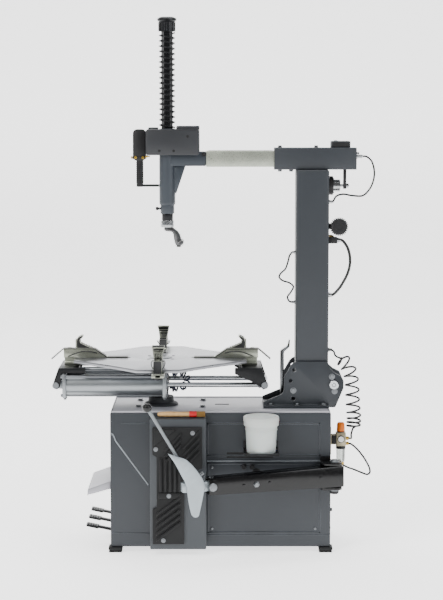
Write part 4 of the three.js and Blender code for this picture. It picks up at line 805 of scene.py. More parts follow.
repeated("foot_bolts", hex_bolt(9, 8, 13), [
    (x, y, 519.6) for x in (398, 492, 586) for y in (-83.5, 83.5)], zinc_bolt, "root")
repeated("cheek_bolts", hex_bolt(8, 7, 11), [
    (479, -71.7, 571.5, 90, 0, 0), (479, 71.7, 571.5, -90, 0, 0), (618, -71.7, 622, 90, 0, 0),
    (628, -71.7, 569, 90, 0, 0)], zinc_bolt, "root")
pin_mesh = bmesh.new()
lathe(pin_mesh, "y", (625, 0, 592.5), [
    (-79, 0), (-79, 5), (-77, 6), (-79, 8), (-79, 15), (-77.5, 17), (-72, 17), (-72, 12), (72, 12), (72, 17),
    (77.5, 17), (79, 15), (79, 0)], 40)
finished("tilt_pin_turned", pin_mesh, rod_chrome, "root", ["tilt_pin"])

# ---- Column --------------------------------------------------------------------------------------
# A 120 mm square tube of 6 mm steel with rolled corners, powder coated. Its lug takes the tilt pin,
# and small welded blocks carry the fluted knob and the hose fittings.
knob_axis = (642, 0, 1161)
# Brass under worn nickel: warm, with small sharp highlights.
brass = finish_of("nickelled brass", "#a98a3c", 0.3, metallic=1.0, tone=0.08, tone_mm=20, grain_mm=0.6,
                  bump=0.1)
# Bright nickel mirrors the room, slightly blurred.
nickel = finish_of("bright nickel fitting", "#9c9ea0", 0.2, metallic=1.0, tone=0.05, tone_mm=20,
                   grain_mm=0.5, bump=0.05)
# Moulded black plastic with a fine spark-eroded grain.
matt_black = finish_of("matt black plastic", "#0f0f11", 0.5, gloss=0.35, tone=0.06, grain_mm=0.7, bump=0.4)
column_mesh = bmesh.new()
cuboid(column_mesh, (487, -60, 535), (605, 60, 1364.7), soften=7, segments=4)
for y0, y1 in ((-60, -48), (48, 60)):
    slab(column_mesh, "y", [(600, 560), (600, 625), (640, 619), (651, 606), (651, 579), (640, 567)], y0,
         y1, soften=1.5)
cuboid(column_mesh, (603, -28, 1151), (648, 0, 1171), soften=2, finish=1)
cuboid(column_mesh, (603, -38, 1100), (636, -20, 1124), soften=1.5, finish=1)
tube(column_mesh, [(488, 0, 1361), (604, 0, 1361)], 2, 8)
finished("column_tube", column_mesh, [slate, matt_black], "column", ["column"])
fittings = bmesh.new()
for x, y, z, way, bore in ((487, -30, 1068, -1, 3.2), (487, -30, 888, -1, 3.2), (605, -34, 1250, 1, 3.8),
                           (605, -29, 914, 1, 5.6), (605, -40, 716, 1, 3.8), (636, -29, 1112, 1, 5.4)):
    lathe(fittings, "x", (x, y, z), [(way * 0.2, 0), (way * 0.2, bore + 4), (way * 5, bore + 4),
                                     (way * 5.2, bore + 2), (way * 13, bore + 2), (way * 14, bore),
                                     (way * 14, bore - 0.4)], 6 if bore < 4 else 18)
finished("column_fittings", fittings, nickel, "column")
elbow = bmesh.new()
tube(elbow, eased([(607, -29, 1124), (616, -29, 1124), (622, -29, 1118), (622, -29, 1104)], 5), 7, 14)
finished("brass_elbow", elbow, brass, "column")
knob_mesh = bmesh.new()
outline = [(642 + r * math.cos(a), 1161 + r * math.sin(a)) for k in range(156)
           for a in [2 * math.pi * k / 156] for r in [30.6 + 3.3 * math.cos(26 * a)]]
slab(knob_mesh, "y", outline, -56.3, -28.3, soften=1.2)
lathe(knob_mesh, "y", knob_axis, [(-56, 0), (-56, 21), (-58.5, 19), (-58.5, 11), (-57, 10), (-57, 0)], 36)
lathe(knob_mesh, "y", knob_axis, [(-28.5, 0), (-28.5, 5), (-2, 5), (-2, 0)], 16, finish=1)
finished("fluted_hand_knob", knob_mesh, [matt_black, zinc_bolt], "knob", ["fluted_knob"])

# ---- Arm housing and lock ------------------------------------------------------------------------
# A welded box on the column's head guides the square arm. A pneumatic lock pushes up from below, and
# its valve sits on top under a black cover.
lock_axis = (0, 0, 1307)
housing_mesh = bmesh.new()
for y0, y1 in ((-38, -29.7), (29.7, 38)):
    cuboid(housing_mesh, (409, y0, 1365), (704, y1, 1443), soften=2.6, segments=3)
cuboid(housing_mesh, (409, -33, 1365), (704, 33, 1373.8), soften=0.8)
cuboid(housing_mesh, (409, -33, 1433.7), (704, 33, 1443), soften=0.8)
cuboid(housing_mesh, (700.6, -34, 1369), (704, 34, 1439), soften=1.2)
cuboid(housing_mesh, (612, -26, 1442), (682, 26, 1467), soften=4, finish=1)
lathe(housing_mesh, "z", (630, 0, 0), [(1466, 0), (1466, 7), (1469, 7), (1470, 5), (1470, 0)], 18, finish=2)
lathe(housing_mesh, "x", (0, -18, 1412), [(704, 0), (704, 9), (709, 9), (709, 7), (722, 7), (726, 5.5),
                                          (726, 3.4)], 18,
      finish=2)
lathe(housing_mesh, "x", (0, 12, 1420), [(704, 0), (704, 8), (714, 8), (716, 6), (716, 0)], 6, finish=2)
finished("arm_housing_box", housing_mesh, [slate, matt_black, nickel], "column", ["arm_housing"])
repeated("housing_bolts", hex_bolt(7, 8, 9), [
    (430, 0, 1365, 180, 0, 0), (470, 0, 1365, 180, 0, 0), (430, 0, 1443), (560, 0, 1443)], zinc_bolt,
    "column")
lock_mesh = bmesh.new()
lathe(lock_mesh, "x", lock_axis, [(605.3, 0), (605.3, 32), (607, 34), (620, 34), (622, 32), (622, 0)], 48)
lathe(lock_mesh, "x", lock_axis, [(622, 22), (645, 22), (647, 20), (647, 0)], 40, finish=1)
lathe(lock_mesh, "x", lock_axis, [(647, 5), (679, 5), (679, 0)], 16, finish=1)
cuboid(lock_mesh, (658, -10, 1295), (669, 10, 1364.7), soften=1.5)
lathe(lock_mesh, "x", lock_axis, [(670, 5), (670, 9), (676, 9), (676, 5)], 6, finish=1)
finished("arm_lock", lock_mesh, [matt_black, nickel], "column", ["lock_actuator"])
repeated("lock_screws", socket_screw(3, 3), [
    (622, 28 * math.cos(math.radians(60 * k)), 1307 + 28 * math.sin(math.radians(60 * k)), 0, 90, 0)
    for k in range(6)], zinc_bolt, "column")

# ---- Arm -----------------------------------------------------------------------------------------
# A 58 mm square tube, zinc plated with a faint green cast, slides in the housing. A dark strip of
# greased paper-thin steel runs along its top.
#
# Zinc on a drawn tube: mottled, faintly green, and streaked along the tube.
arm_zinc = finish_of("greenish zinc plated tube", "#adb2a5", 0.33, metallic=0.8, tone=0.14, tone_mm=30,
                     grain_mm=1.2, stretch=(0.15, 1, 1), spread=0.1, bump=0.12)
arm_mesh = bmesh.new()
cuboid(arm_mesh, (165, -29, 1374.6), (559, 29, 1432.4), soften=3, segments=3)
cuboid(arm_mesh, (172, -24, 1431.5), (404, 24, 1433.3), soften=0.8, finish=1)
finished("arm_tube", arm_mesh, [arm_zinc, satin_black], "arm", ["arm"])
roller = bmesh.new()
lathe(roller, "y", (158, 0, 1420), [(-31, 0), (-31, 7), (-29, 8), (29, 8), (31, 7), (31, 0)], 24)
finished("arm_roller", roller, matt_black, "arm")

# ---- Head ----------------------------------------------------------------------------------------
# A machined casting on the arm's end guides the vertical shaft. A moulded plastic cover hides the
# lock, and a hinged handle hangs on its left with two brass screws through its band.
head_axis = (25, 0, 0)
# Paint on a casting follows its rough skin and is thinner on the edges.
head_paint = finish_of("dark slate casting paint", "#2c3239", 0.4, metallic=0.2, tone=0.06, grain_mm=1.6,
                       spread=0.08, bump=0.45, worn="#70777d")
# Moulded plastic with a fine even grain and no hard highlight.
cover_plastic = finish_of("dark grey moulded plastic", "#1b1d21", 0.46, tone=0.03, grain_mm=0.7, bump=0.5)
head_mesh = bmesh.new()
lathe(head_mesh, "z", head_axis, [
    (1206, 21.8), (1206, 24), (1208, 25), (1236, 25), (1240, 28), (1246, 29), (1509, 29), (1511, 27.5),
    (1511, 21.8), (1206, 21.8)], 56)
boss = bmesh.new()
cuboid(boss, (30, -26, 1377.3), (164.6, 26, 1429), soften=4, segments=3)
bore = bmesh.new()
lathe(bore, "z", head_axis, [(1300, 0), (1300, 27), (1480, 27), (1480, 0)], 40)
join(head_mesh, carved(boss, bore))
slab(head_mesh, "y", [(50, 1280), (58, 1280), (91, 1378), (50, 1378)], -12, 12, soften=2.5)
lathe(head_mesh, "x", (0, 0, 1224), [(-17, 0), (-17, 5), (-16, 6), (-8, 6), (-7, 4), (2, 4)], 16, finish=1)
finished("head_casting_body", head_mesh, [head_paint, matt_black], "arm", ["head_casting"])
cover_mesh = bmesh.new()
slab(cover_mesh, "y", rounded(-51, 141, 1416.6, 1509, 9), -50, 50, soften=4)
hollow = bmesh.new()
cuboid(hollow, (-47, -46, 1400), (137, 46, 1504.5), soften=1)
cover_mesh = carved(cover_mesh, hollow)
shaft_hole = bmesh.new()
lathe(shaft_hole, "z", head_axis, [(1490, 0), (1490, 29.5), (1515, 29.5), (1515, 0)], 48)
cover_mesh = carved(cover_mesh, shaft_hole)
mouth = bmesh.new()
cuboid(mouth, (130, -31, 1410), (150, 31, 1434.6), soften=1)
cover_mesh = carved(cover_mesh, mouth)
slab(cover_mesh, "y", rounded(58, 141, 1505, 1521, 5), -42, 42, soften=3)
lathe(cover_mesh, "z", (-25, 0, 0), [(1508.5, 12), (1508.5, 19), (1514, 18), (1515.5, 16), (1514, 13),
                                     (1508.5, 12)], 32)
# Near black discs in the cover's screw holes: painted shade.
for x, z in ((-2, 1432), (49, 1432), (99, 1484)):
    lathe(cover_mesh, "y", (x, 0, z), [(-49, 0), (-50.4, 0), (-50.4, 3.2), (-51.2, 4.2), (-50, 5),
                                       (-49, 5)], 18,
          finish=1)
finished("head_cover_shell", cover_mesh, [cover_plastic, painted_shade_gap], "arm", ["head_cover"])
handle_mesh = bmesh.new()
slab(handle_mesh, "y", rounded(-98.3, -51.4, 1396, 1509, 15, 5), -16, 16, soften=4)
lathe(handle_mesh, "z", (-74, 0, 0), [(1398, 0), (1398, 13)] + [
    (1392 - 7 * k - step, 13.5 if step in (1, 5) else 12.2) for k in range(11) for step in (0, 1, 5, 6)]
    + [(1304, 12), (1302, 10), (1302, 0)], 30)
tube(handle_mesh, [(-74, 0, 1307), (-4.4, 0, 1307)], 4.6, 14)
slab(handle_mesh, "y", rounded(-99.6, -50.6, 1402, 1413, 3), -17.2, 17.2, soften=0.8)
finished("lock_handle_grip", handle_mesh, matt_black, "arm", ["lock_handle"])
screws = bmesh.new()
lathe(screws, "x", (0, -6, 1408), [(-100.5, 5), (-104, 5), (-105.5, 3.5), (-105.5, 0)], 18)
for x in (-88, -62):
    lathe(screws, "y", (x, 0, 1408), [(-17, 5), (-19, 5), (-20, 3.6), (-20, 0)], 18)
lathe(screws, "x", (0, -24, 1412), [(-52, 0), (-52, 4), (-44, 4), (-44, 2.5), (-36, 2.5), (-36, 0)], 14)
finished("handle_screws", screws, brass, "arm")

# ---- Vertical shaft ------------------------------------------------------------------------------
# A black hexagon bar slides through the casting. A long spring round it lifts it, up to a turned cap
# with a fluted body. A clamp collar at the foot holds the mounting tool.
#
# Blued steel under oil: black with narrow highlights along the bar.
oiled_steel = finish_of("oiled black steel", "#141518", 0.3, metallic=0.6, tone=0.08, tone_mm=30,
                        grain_mm=0.8, stretch=(1, 1, 0.1), bump=0.12)
# Cast tool steel, polished by use: dark, uneven and bright on its curves.
duck_steel = finish_of("cast tool steel", "#5b5b5c", 0.3, metallic=0.95, tone=0.12, tone_mm=25, grain_mm=1.2,
                       bump=0.45)
shaft_mesh = bmesh.new()
lathe(shaft_mesh, "z", head_axis, [(1182, 0), (1182, 20.5), (1876, 20.5), (1876, 0)], 6)
cap_low = 1855.7
fluted = []
for along, radius in ((0, 22), (0.4, 28.5), (34, 28.5), (36, 31)):
    fluted.append((cap_low + along, radius))
lathe(shaft_mesh, "z", head_axis, [(cap_low, 0)] + fluted + [
    (cap_low + 40, 35), (cap_low + 45, 35), (cap_low + 48, 32), (cap_low + 52, 23), (cap_low + 52, 0)], 60)
for k in range(20):
    a = 2 * math.pi * k / 20
    x, y = 25 + 28.6 * math.cos(a), 28.6 * math.sin(a)
    tube(shaft_mesh, [(x, y, cap_low + 2), (x, y, cap_low + 33)], 2.3, 8)
lathe(shaft_mesh, "z", head_axis, [(1181, 0), (1181, 19), (1183, 20), (1202, 20), (1204, 18), (1204, 0)], 40)
lathe(shaft_mesh, "z", head_axis, [
    (1157, 0), (1157, 23), (1159, 24), (1168, 24), (1169, 22.5), (1171, 22.5), (1172, 24), (1180, 24),
    (1182, 22), (1182, 0)], 40, finish=1)
lathe(shaft_mesh, "y", (14, 0, 1170), [(-20, 0), (-20, 5), (-27, 5), (-27, 0)], 6, finish=2)
lathe(shaft_mesh, "y", (36, 0, 1170), [(-18, 0), (-18, 5), (-26, 5), (-26, 0)], 6, finish=2)
finished("vertical_shaft_hexagon", shaft_mesh, [oiled_steel, nickel, zinc_bolt], "shaft", ["vertical_shaft"])
tool_mesh = bmesh.new()
slab(tool_mesh, "y", [(13, 1156.7), (13, 1147), (20, 1142), (40, 1141), (46, 1134), (48, 1116),
                      (52, 1100), (57, 1090), (67, 1086.7), (77, 1094), (79, 1101), (74, 1118),
                      (70, 1132), (62, 1143), (50, 1152), (44, 1156.7)], -14, 14, soften=3.5)
foot = bmesh.new()
slab(foot, "y", [(55, 1094), (60, 1088), (67, 1086.7), (77, 1093), (79, 1101), (70, 1109)], -44, 44,
     soften=3.5)
for vert in foot.verts:
    vert.co.x += 0.006 * vert.co.y ** 2 - 4
    vert.co.z += 0.003 * vert.co.y ** 2
join(tool_mesh, foot)
lathe(tool_mesh, "y", (66, 0, 1112), [(-16, 0), (-16, 8), (16, 8), (16, 0)], 24)
cuboid(tool_mesh, (58, -20, 1085.5), (74, 20, 1091), soften=2, finish=1)
finished("mounting_head", tool_mesh, [duck_steel, matt_black], "shaft", ["mount_head"])


def spring_tree():
    """Geometry nodes that wind a round wire into a spring along Z."""
    tree = bpy.data.node_groups.new("wound spring", "GeometryNodeTree")
    tree.interface.new_socket("Geometry", in_out="OUTPUT", socket_type="NodeSocketGeometry")
    for name in ("Turns", "Radius", "Height", "Wire"):
        tree.interface.new_socket(name, in_out="INPUT", socket_type="NodeSocketFloat")
    tree.interface.new_socket("Finish", in_out="INPUT", socket_type="NodeSocketMaterial")
    given = add_node(tree, "NodeGroupInput").outputs
    line = add_node(tree, "GeometryNodeCurveSpiral", {
        "Resolution": 24, "Rotations": given["Turns"], "Start Radius": given["Radius"],
        "End Radius": given["Radius"], "Height": given["Height"]})
    section = add_node(tree, "GeometryNodeCurvePrimitiveCircle", {"Resolution": 10, "Radius": given["Wire"]})
    wire = add_node(tree, "GeometryNodeCurveToMesh", {
        "Curve": line.outputs["Curve"], "Profile Curve": section.outputs["Curve"], "Fill Caps": True})
    smooth = add_node(tree, "GeometryNodeSetShadeSmooth", {"Geometry": wire.outputs["Mesh"]})
    real = add_node(tree, "GeometryNodeRealizeInstances", {"Geometry": smooth.outputs["Geometry"]})
    painted = add_node(tree, "GeometryNodeSetMaterial", {
        "Geometry": real.outputs["Geometry"], "Material": given["Finish"]})
    add_node(tree, "NodeGroupOutput", {"Geometry": painted.outputs["Geometry"]})
    return tree


spring = bpy.data.objects.new("lift_spring", bpy.data.meshes.new("lift_spring"))
bpy.context.scene.collection.objects.link(spring)
baked(spring, spring_tree(), {
    "Turns": 18.0, "Radius": 0.0265, "Height": 0.3365, "Wire": 0.00275, "Finish": oiled_steel})
spring.data.transform(Matrix.Translation(at(25, 0, 1514.8)))
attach(spring, "arm")
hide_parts("shaft_spring")
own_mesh(spring)

# ---- Bead breaker --------------------------------------------------------------------------------
# A gloss black box beam hinges on a plate at the cabinet's right and swings the shovel. The blade
# turns a little on its pin at the beam's end, and is steered by a rod with a ball on top.
hinge_pin = (620, -215, 0)
# Gloss enamel over folded plate: deep black with slow waves in its reflections.
gloss_black = finish_of("gloss black enamel", "#050506", 0.2, tone=0.1, grain_mm=6, spread=0.05,
                        bump=0.05, gloss=0.35)
# Silver grey lacquer on pressed steel: pale, and duller than plate.
blade_steel = finish_of("silver grey lacquered steel", "#9aa3a8", 0.36, metallic=0.55, tone=0.05, tone_mm=60,
                        grain_mm=0.8, bump=0.15, worn="#6f767b")
# Drawn rod keeps fine lines along its length, with pale edges.
rod_steel = finish_of("drawn steel rod", "#6e7376", 0.34, metallic=0.75, tone=0.08, tone_mm=40, grain_mm=0.8,
                      stretch=(1, 1, 0.1), bump=0.12, worn="#9aa0a3")
swing = Matrix.Translation(hinge_pin) @ Matrix.Rotation(math.radians(17), 4, "Z")


def swung(mesh):
    """Turns a bmesh drawn along the breaker's beam into its place."""
    bmesh.ops.transform(mesh, matrix=swing, verts=mesh.verts)
    return mesh


hinge_mesh = bmesh.new()
cuboid(hinge_mesh, (572, -174.3, 230), (609, -166.3, 350), soften=1.5)
for low, high in ((328, 339), (241, 252)):
    slab(hinge_mesh, "z", [(572, -166.5), (572, -230), (583, -241), (636, -241), (646, -230),
                           (646, -166.5)], low, high,
         soften=1.5)
slab(hinge_mesh, "x", [(-168, 252), (-205, 252), (-168, 300)], 573, 580, soften=0.8)
lathe(hinge_mesh, "z", hinge_pin, [(228, 0), (228, 11.8), (347, 11.8), (348, 10), (348, 0)], 28, finish=1)
for z0, z1 in ((339, 344), (236, 241)):
    lathe(hinge_mesh, "z", hinge_pin, [(z0, 11), (z0, 17), (z1, 17), (z1, 11)], 28, finish=1)
lathe(hinge_mesh, "z", hinge_pin, [(225, 0), (225, 14), (229, 16), (235, 16), (235, 0)], 20, finish=2)
finished("breaker_hinge_plates", hinge_mesh, [gloss_black, zinc_bolt, matt_black], "root", ["breaker_hinge"])
beam = bmesh.new()
beam_side = [(-470, 253), (24, 253), (26, 256), (26, 324), (24, 327), (-470, 310)]
for y0, y1 in ((-27.5, -22.5), (22.5, 27.5)):
    slab(beam, "y", beam_side, y0, y1, soften=1.6)
slab(beam, "y", [(-470, 253.2), (24, 253.2), (24, 258), (-470, 258)], -25, 25, soften=0.8)
slab(beam, "y", [(-470, 305), (24, 322), (24, 326.8), (-470, 309.8)], -25, 25, soften=0.8)
lathe(beam, "z", (0, 0, 0), [(254, 12.5), (254, 22), (325.5, 22), (325.5, 12.5), (254, 12.5)], 32)
lathe(beam, "z", (-455, 0, 0), [(252, 0), (252, 10), (254, 10), (254, 6), (309, 6), (309, 9), (313, 9),
                                (313, 0)], 24,
      finish=1)
for x, z, r in ((-300, 282, 9), (-345, 281, 6), (-250, 285, 6), (-60, 290, 6)):
    lathe(beam, "y", (x, 0, z), [(-27, 0), (-27, r), (-29, r), (-29.6, r * 0.8), (-29.6, 0)], 28)
cuboid(beam, (-468, -30, 256), (-446, -26.5, 307), soften=1.2)
finished("breaker_beam", swung(beam), [gloss_black, zinc_bolt], "breaker_arm", ["breaker_arm"])
nuts = bmesh.new()
lathe(nuts, "y", (-300, 0, 282), [(-29.4, 0), (-29.4, 11), (-31, 11), (-31, 8.5), (-37, 8.5), (-38, 7),
                                  (-38, 0)], 6)
lathe(nuts, "y", (-458, 0, 281), [(-30, 0), (-30, 14), (-33, 15), (-36, 13), (-37, 0)], 28)
finished("breaker_beam_bolts", swung(nuts), zinc_bolt, "breaker_arm")
blade = bmesh.new()
blade_x, blade_z, blade_half, blade_bow = -548, 281.5, 66, 5
outline = [(-68, 125), (-52, 119), (-36, 112), (-20, 108), (-4, 101), (15, 84), (32, 64), (52, 36),
           (66, 8), (66, -2), (61, -14), (52, -56), (42, -98), (38, -103), (28, -104), (23, -102),
           (15, -94), (11, -80), (4, -46), (-2, 4), (-9, 24), (-19, 42), (-32, 68), (-45, 92), (-60, 114)]
slab(blade, "y", [(blade_x + x, blade_z + z) for x, z in outline], -22, -13, soften=2)
bmesh.ops.triangulate(blade, faces=blade.faces)
bmesh.ops.subdivide_edges(blade, edges=[e for e in blade.edges if e.calc_length() > 20], cuts=2)
for vert in blade.verts:
    vert.co.y += blade_bow * ((vert.co.x - blade_x) / blade_half) ** 2 - 3
stem = bmesh.new()
cuboid(stem, (-562, -15, 264.5), (-430, 15, 298.5), soften=3)
pin_bore = bmesh.new()
lathe(pin_bore, "z", (-455, 0, 0), [(250, 0), (250, 6.6), (310, 6.6), (310, 0)], 24)
join(blade, carved(stem, pin_bore))
lathe(blade, "x", (0, 0, 281.5), [(-521, 0), (-521, 17), (-519, 19), (-484, 19), (-482, 17), (-482, 0)],
      36, finish=1)
tube(blade, [(-526, 2, 300), (-505, 2, 314), (-484, 2, 328)], 9, 24, finish=1)
finished("breaker_shovel", swung(blade), [blade_steel, zinc_bolt], "blade", ["breaker_blade"])
steer = bmesh.new()
rod_foot, rod_head = Vector((-548, 24, 344.5)), Vector((-711, -102, 584))
tube(steer, [rod_foot, rod_foot.lerp(rod_head, 0.5), rod_head], 6, 20)
cuboid(steer, (-560, -12.4, 320.5), (-536, 33, 352.5), soften=2)
lathe(steer, "z", (0, 0, 0), [(-17, 0)] + [(-16 * math.cos(math.pi * k / 14),
                                            16 * math.sin(math.pi * k / 14))
                                        for k in range(2, 14)] + [(16, 0)], 28, finish=1)
steer.verts.ensure_lookup_table()
away = (rod_head - rod_foot).to_track_quat("Z", "Y").to_matrix().to_4x4()
ball_verts = {vert for face in steer.faces if face.material_index == 1 for vert in face.verts}
bmesh.ops.transform(steer, matrix=Matrix.Translation(rod_head) @ away, verts=list(ball_verts))
finished("breaker_steering_rod", swung(steer), [rod_steel, gloss_black], "blade", ["breaker_handle"])
behind = bmesh.new()
for x in (300, 329):
    lathe(behind, "y", (x, 0, 312), [(-166, 0), (-166, 9), (-178, 9), (-180, 7), (-180, 0)], 18)
finished("breaker_air_knobs", behind, matt_black, "root")

# ---- Regulator -----------------------------------------------------------------------------------
# A filter and regulator on a steel plate: pale body, orange pull knob, clear bowl with a guard, and
# black push-in elbows with brass ends.
regulator_axis = (652, -60, 0)
# Painted zinc die casting, cream and slightly glossy.
regulator_body = finish_of("cream zinc casting", "#a39a80", 0.42, metallic=0.4, tone=0.08, tone_mm=20,
                           grain_mm=0.9)
# Moulded ABS: one strong colour with a soft shine.
orange = finish_of("orange moulded plastic", "#e8730c", 0.38, tone=0.04, tone_mm=15, grain_mm=0.6, bump=0.1)
# Moulded polycarbonate, clear and smooth.
bowl = finish_of("clear bowl", "#cfd3cf", 0.08, tone=0.04, tone_mm=15, grain_mm=4, spread=0.03, bump=0.02)
bowl.node_tree.nodes["Principled BSDF"].inputs["Transmission Weight"].default_value = 0.75
bowl.node_tree.nodes["Principled BSDF"].inputs["IOR"].default_value = 1.45
regulator = bmesh.new()
cuboid(regulator, (610.3, -85, 340), (616, -35, 440), soften=1, finish=3)
cuboid(regulator, (616, -73, 374), (638, -47, 410), soften=2, finish=3)
cuboid(regulator, (634, -78, 368), (670, -42, 419), soften=4)
lathe(regulator, "z", regulator_axis, [(419, 0), (419, 14), (422, 14), (422, 0)], 28, finish=3)
lathe(regulator, "z", regulator_axis, [(422, 0), (422, 15), (425, 15), (448, 14), (452, 12), (454, 9),
                                       (454, 0)], 24,
      finish=1)
lathe(regulator, "z", regulator_axis, [(308, 0), (306.5, 5), (311, 13), (318, 15.5), (364, 16),
                                       (368, 17), (368, 0)],
      32, finish=2)
lathe(regulator, "z", regulator_axis, [(358, 16), (358, 17.6), (368, 17.6), (368, 16)], 32, finish=3)
for z, r in ((395, 7), (376, 6)):
    lathe(regulator, "x", (0, -60, z), [(668, 0), (668, r), (680, r), (681, r - 1.5), (681, 3.3)], 18,
          finish=4)
lathe(regulator, "z", (658, -60, 0), [(308, 0), (308, 7), (300, 7), (299, 5), (299, 3.3)], 6, finish=4)
lathe(regulator, "y", (652, 0, 395), [(-78, 0), (-78, 13), (-82, 13), (-84, 11), (-84, 0)], 32, finish=3)
lathe(regulator, "y", (652, 0, 395), [(-83.8, 0), (-83.8, 10.4), (-84.6, 10.4), (-84.6, 0)], 32, finish=5)
# A printed card behind a clear window.
dial = finish_of("white dial", "#ecece8", 0.3, tone=0.02, tone_mm=10, grain_mm=1)
finished("air_regulator", regulator, [regulator_body, orange, bowl, matt_black, brass, dial], "root",
         ["regulator"])
lever_nubs = bmesh.new()
lathe(lever_nubs, "x", (0, -100, 141), [(609, 0), (609, 7), (614, 7), (620, 5), (620, 0)], 18)
finished("cable_gland", lever_nubs, matt_black, "root")

# ---- Paste bucket --------------------------------------------------------------------------------
# A white polypropylene bucket of mounting paste with a snap lid, on a small folded shelf.
bucket_axis = (360, -234.3, 0)
# Polypropylene is waxy: light goes in a little and its highlights are soft.
white_plastic = finish_of("white polypropylene", "#b9bbb8", 0.36, tone=0.015, tone_mm=40, grain_mm=2,
                          bump=0.06)
white_plastic.node_tree.nodes["Principled BSDF"].inputs["Subsurface Weight"].default_value = 0.12
shelf_mesh = bmesh.new()
cuboid(shelf_mesh, (298, -292, 374), (422, -166.4, 377.7), soften=1)
cuboid(shelf_mesh, (298, -169.4, 374), (422, -166.4, 407), soften=0.8)
cuboid(shelf_mesh, (298, -292, 374), (422, -290, 383), soften=0.6)
finished("bucket_shelf_plate", shelf_mesh, satin_black, "root", ["bucket_shelf"])
bucket_mesh = bmesh.new()
lathe(bucket_mesh, "z", bucket_axis, [
    (379.5, 0), (379.5, 46), (378, 47), (378, 50), (380, 51), (458, 55), (458, 56.5), (461, 56.5),
    (461, 55.4), (499, 57), (500, 56), (500, 55), (381, 49), (380, 0)], 72)
finished("bucket_body", bucket_mesh, white_plastic, "bucket", ["grease_bucket"])
lid_mesh = bmesh.new()
lathe(lid_mesh, "z", bucket_axis, [
    (500.4, 0), (500.4, 57.4), (474.6, 57.6), (474.4, 60.5), (476, 61.4), (489, 61.8), (490, 63), (503, 63),
    (505, 62), (506.3, 60), (506.3, 55), (504.6, 53), (503.4, 50), (503.4, 0)], 72)
finished("bucket_snap_lid", lid_mesh, white_plastic, "bucket_lid", ["bucket_lid"])

# ---- Paste brush ---------------------------------------------------------------------------------
# A turned beech handle, a red plastic ferrule and stiff brown bristles, lying on the panel's top.
brush_axis = (0, -196, 506.3)
# Turned beech shows fine grain along the handle.
beech = finish_of("turned beech", "#c79f68", 0.5, tone=0.16, tone_mm=14, grain_mm=1.4,
                  stretch=(0.06, 1, 1), bump=0.35)
# Injection moulded ferrule, evenly shiny.
red_plastic = finish_of("red plastic", "#c01018", 0.35, tone=0.04, tone_mm=12, grain_mm=0.8)
# Packed hair: fine strands, dry and brown.
bristle = finish_of("brown bristle", "#8f6c34", 0.7, tone=0.2, tone_mm=3, grain_mm=0.6,
                    stretch=(0.05, 1, 1), bump=0.6)
brush_mesh = bmesh.new()
lathe(brush_mesh, "x", brush_axis, [(-7, 0), (-6, 5), (-2, 8), (30, 9.6), (70, 8.6), (100, 9), (108, 9.8),
                                          (108, 0)], 28)
lathe(brush_mesh, "x", brush_axis, [(106, 0), (106, 10.6), (108, 11), (130, 11), (132, 10.4), (132, 0)], 28,
      finish=1)
finished("brush_handle", brush_mesh, [beech, red_plastic], "brush", ["brush"])
strand = bmesh.new()
lathe(strand, "x", (0, 0, 0), [(0, 0), (0, 0.55), (31, 0.4), (32, 0)], 5)
repeated("brush_bristles", strand, [
    (130.5, -196 + r * math.cos(a), 506.3 + r * math.sin(a)) for ring,
    r in enumerate((0.8, 3.2, 5.6, 8, 9.6))
    for a in [2 * math.pi * (k + 0.5 * (ring % 2)) / (6 + 9 * ring) for k in range(6 + 9 * ring)]],
    bristle, "brush")

# ---- Tyre lever ----------------------------------------------------------------------------------
# A forged chromed bar standing behind the bracket, its tip bent over.
#
# A forged bar under chrome: dark, with bright broken highlights.
forged_chrome = finish_of("forged chromed bar", "#5f6163", 0.24, metallic=1.0, tone=0.08, tone_mm=30,
                          grain_mm=1.4, bump=0.3)
lever_mesh = bmesh.new()
slab(lever_mesh, "y", [(433, 519.9), (447, 519.9), (447, 700), (450, 706), (463, 717), (467, 722),
                       (469, 748), (464, 748), (460, 728), (456, 723), (437, 711), (433, 706)], -11, 11,
                       soften=3)
finished("tyre_lever_bar", lever_mesh, forged_chrome, "tyre_lever", ["tyre_lever"])

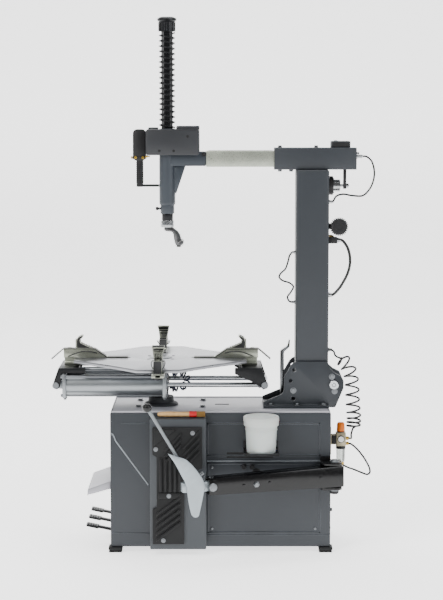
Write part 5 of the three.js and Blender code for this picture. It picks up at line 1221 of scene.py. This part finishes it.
# ---- Floor and light -----------------------------------------------------------------------------
# A pale seamless floor that sweeps up behind the machine, under large soft lamps.
sweep = [(-7, 0), (5.5, 0), (6.6, 0.15), (7.3, 0.6), (7.6, 1.4), (7.7, 9)]
backdrop_mesh = bmesh.new()
rows = [[backdrop_mesh.verts.new((x, y, z)) for y, z in sweep] for x in (-14, 14)]
for i in range(len(sweep) - 1):
    backdrop_mesh.faces.new((rows[0][i], rows[1][i], rows[1][i + 1], rows[0][i + 1])).smooth = True
backdrop_data = bpy.data.meshes.new("backdrop")
backdrop_mesh.to_mesh(backdrop_data)
backdrop_mesh.free()
# Matt paper without a seam; it glows a little, which keeps the ground pale.
paper = finish_of("seamless paper", "#f4f4f4", 0.9, tone=0.002, grain_mm=2, bump=0.02)
paper.node_tree.nodes["Principled BSDF"].inputs["Emission Color"].default_value = (1, 1, 1, 1)
paper.node_tree.nodes["Principled BSDF"].inputs["Emission Strength"].default_value = 1.7
backdrop_data.materials.append(paper)
backdrop = bpy.data.objects.new("backdrop", backdrop_data)
bpy.context.scene.collection.objects.link(backdrop)
for name, place, size, power, colour in (
        ("key lamp", (-3.4, -4.2, 4.2), 2.4, 300, (1, 0.99, 0.975)),
        ("fill lamp", (4.0, -3.6, 3.0), 2.4, 150, (0.96, 0.98, 1)),
        ("top lamp", (0.2, 0.4, 5.2), 3.4, 170, (1, 1, 1)),
        ("back lamp", (-2.6, 3.8, 3.4), 2.6, 90, (1, 1, 1))):
    lamp_data = bpy.data.lights.new(name, "AREA")
    lamp_data.size = size
    lamp_data.energy = power
    lamp_data.color = colour
    lamp = bpy.data.objects.new(name, lamp_data)
    lamp.location = place
    lamp.rotation_euler = (Vector((0, 0, 0.9)) - Vector(place)).to_track_quat("-Z", "Y").to_euler()
    bpy.context.scene.collection.objects.link(lamp)
world = bpy.data.worlds.new("studio")
world.use_nodes = True
world.node_tree.nodes["Background"].inputs["Color"].default_value = (1, 1, 1, 1)
world.node_tree.nodes["Background"].inputs["Strength"].default_value = 0.22
bpy.context.scene.world = world
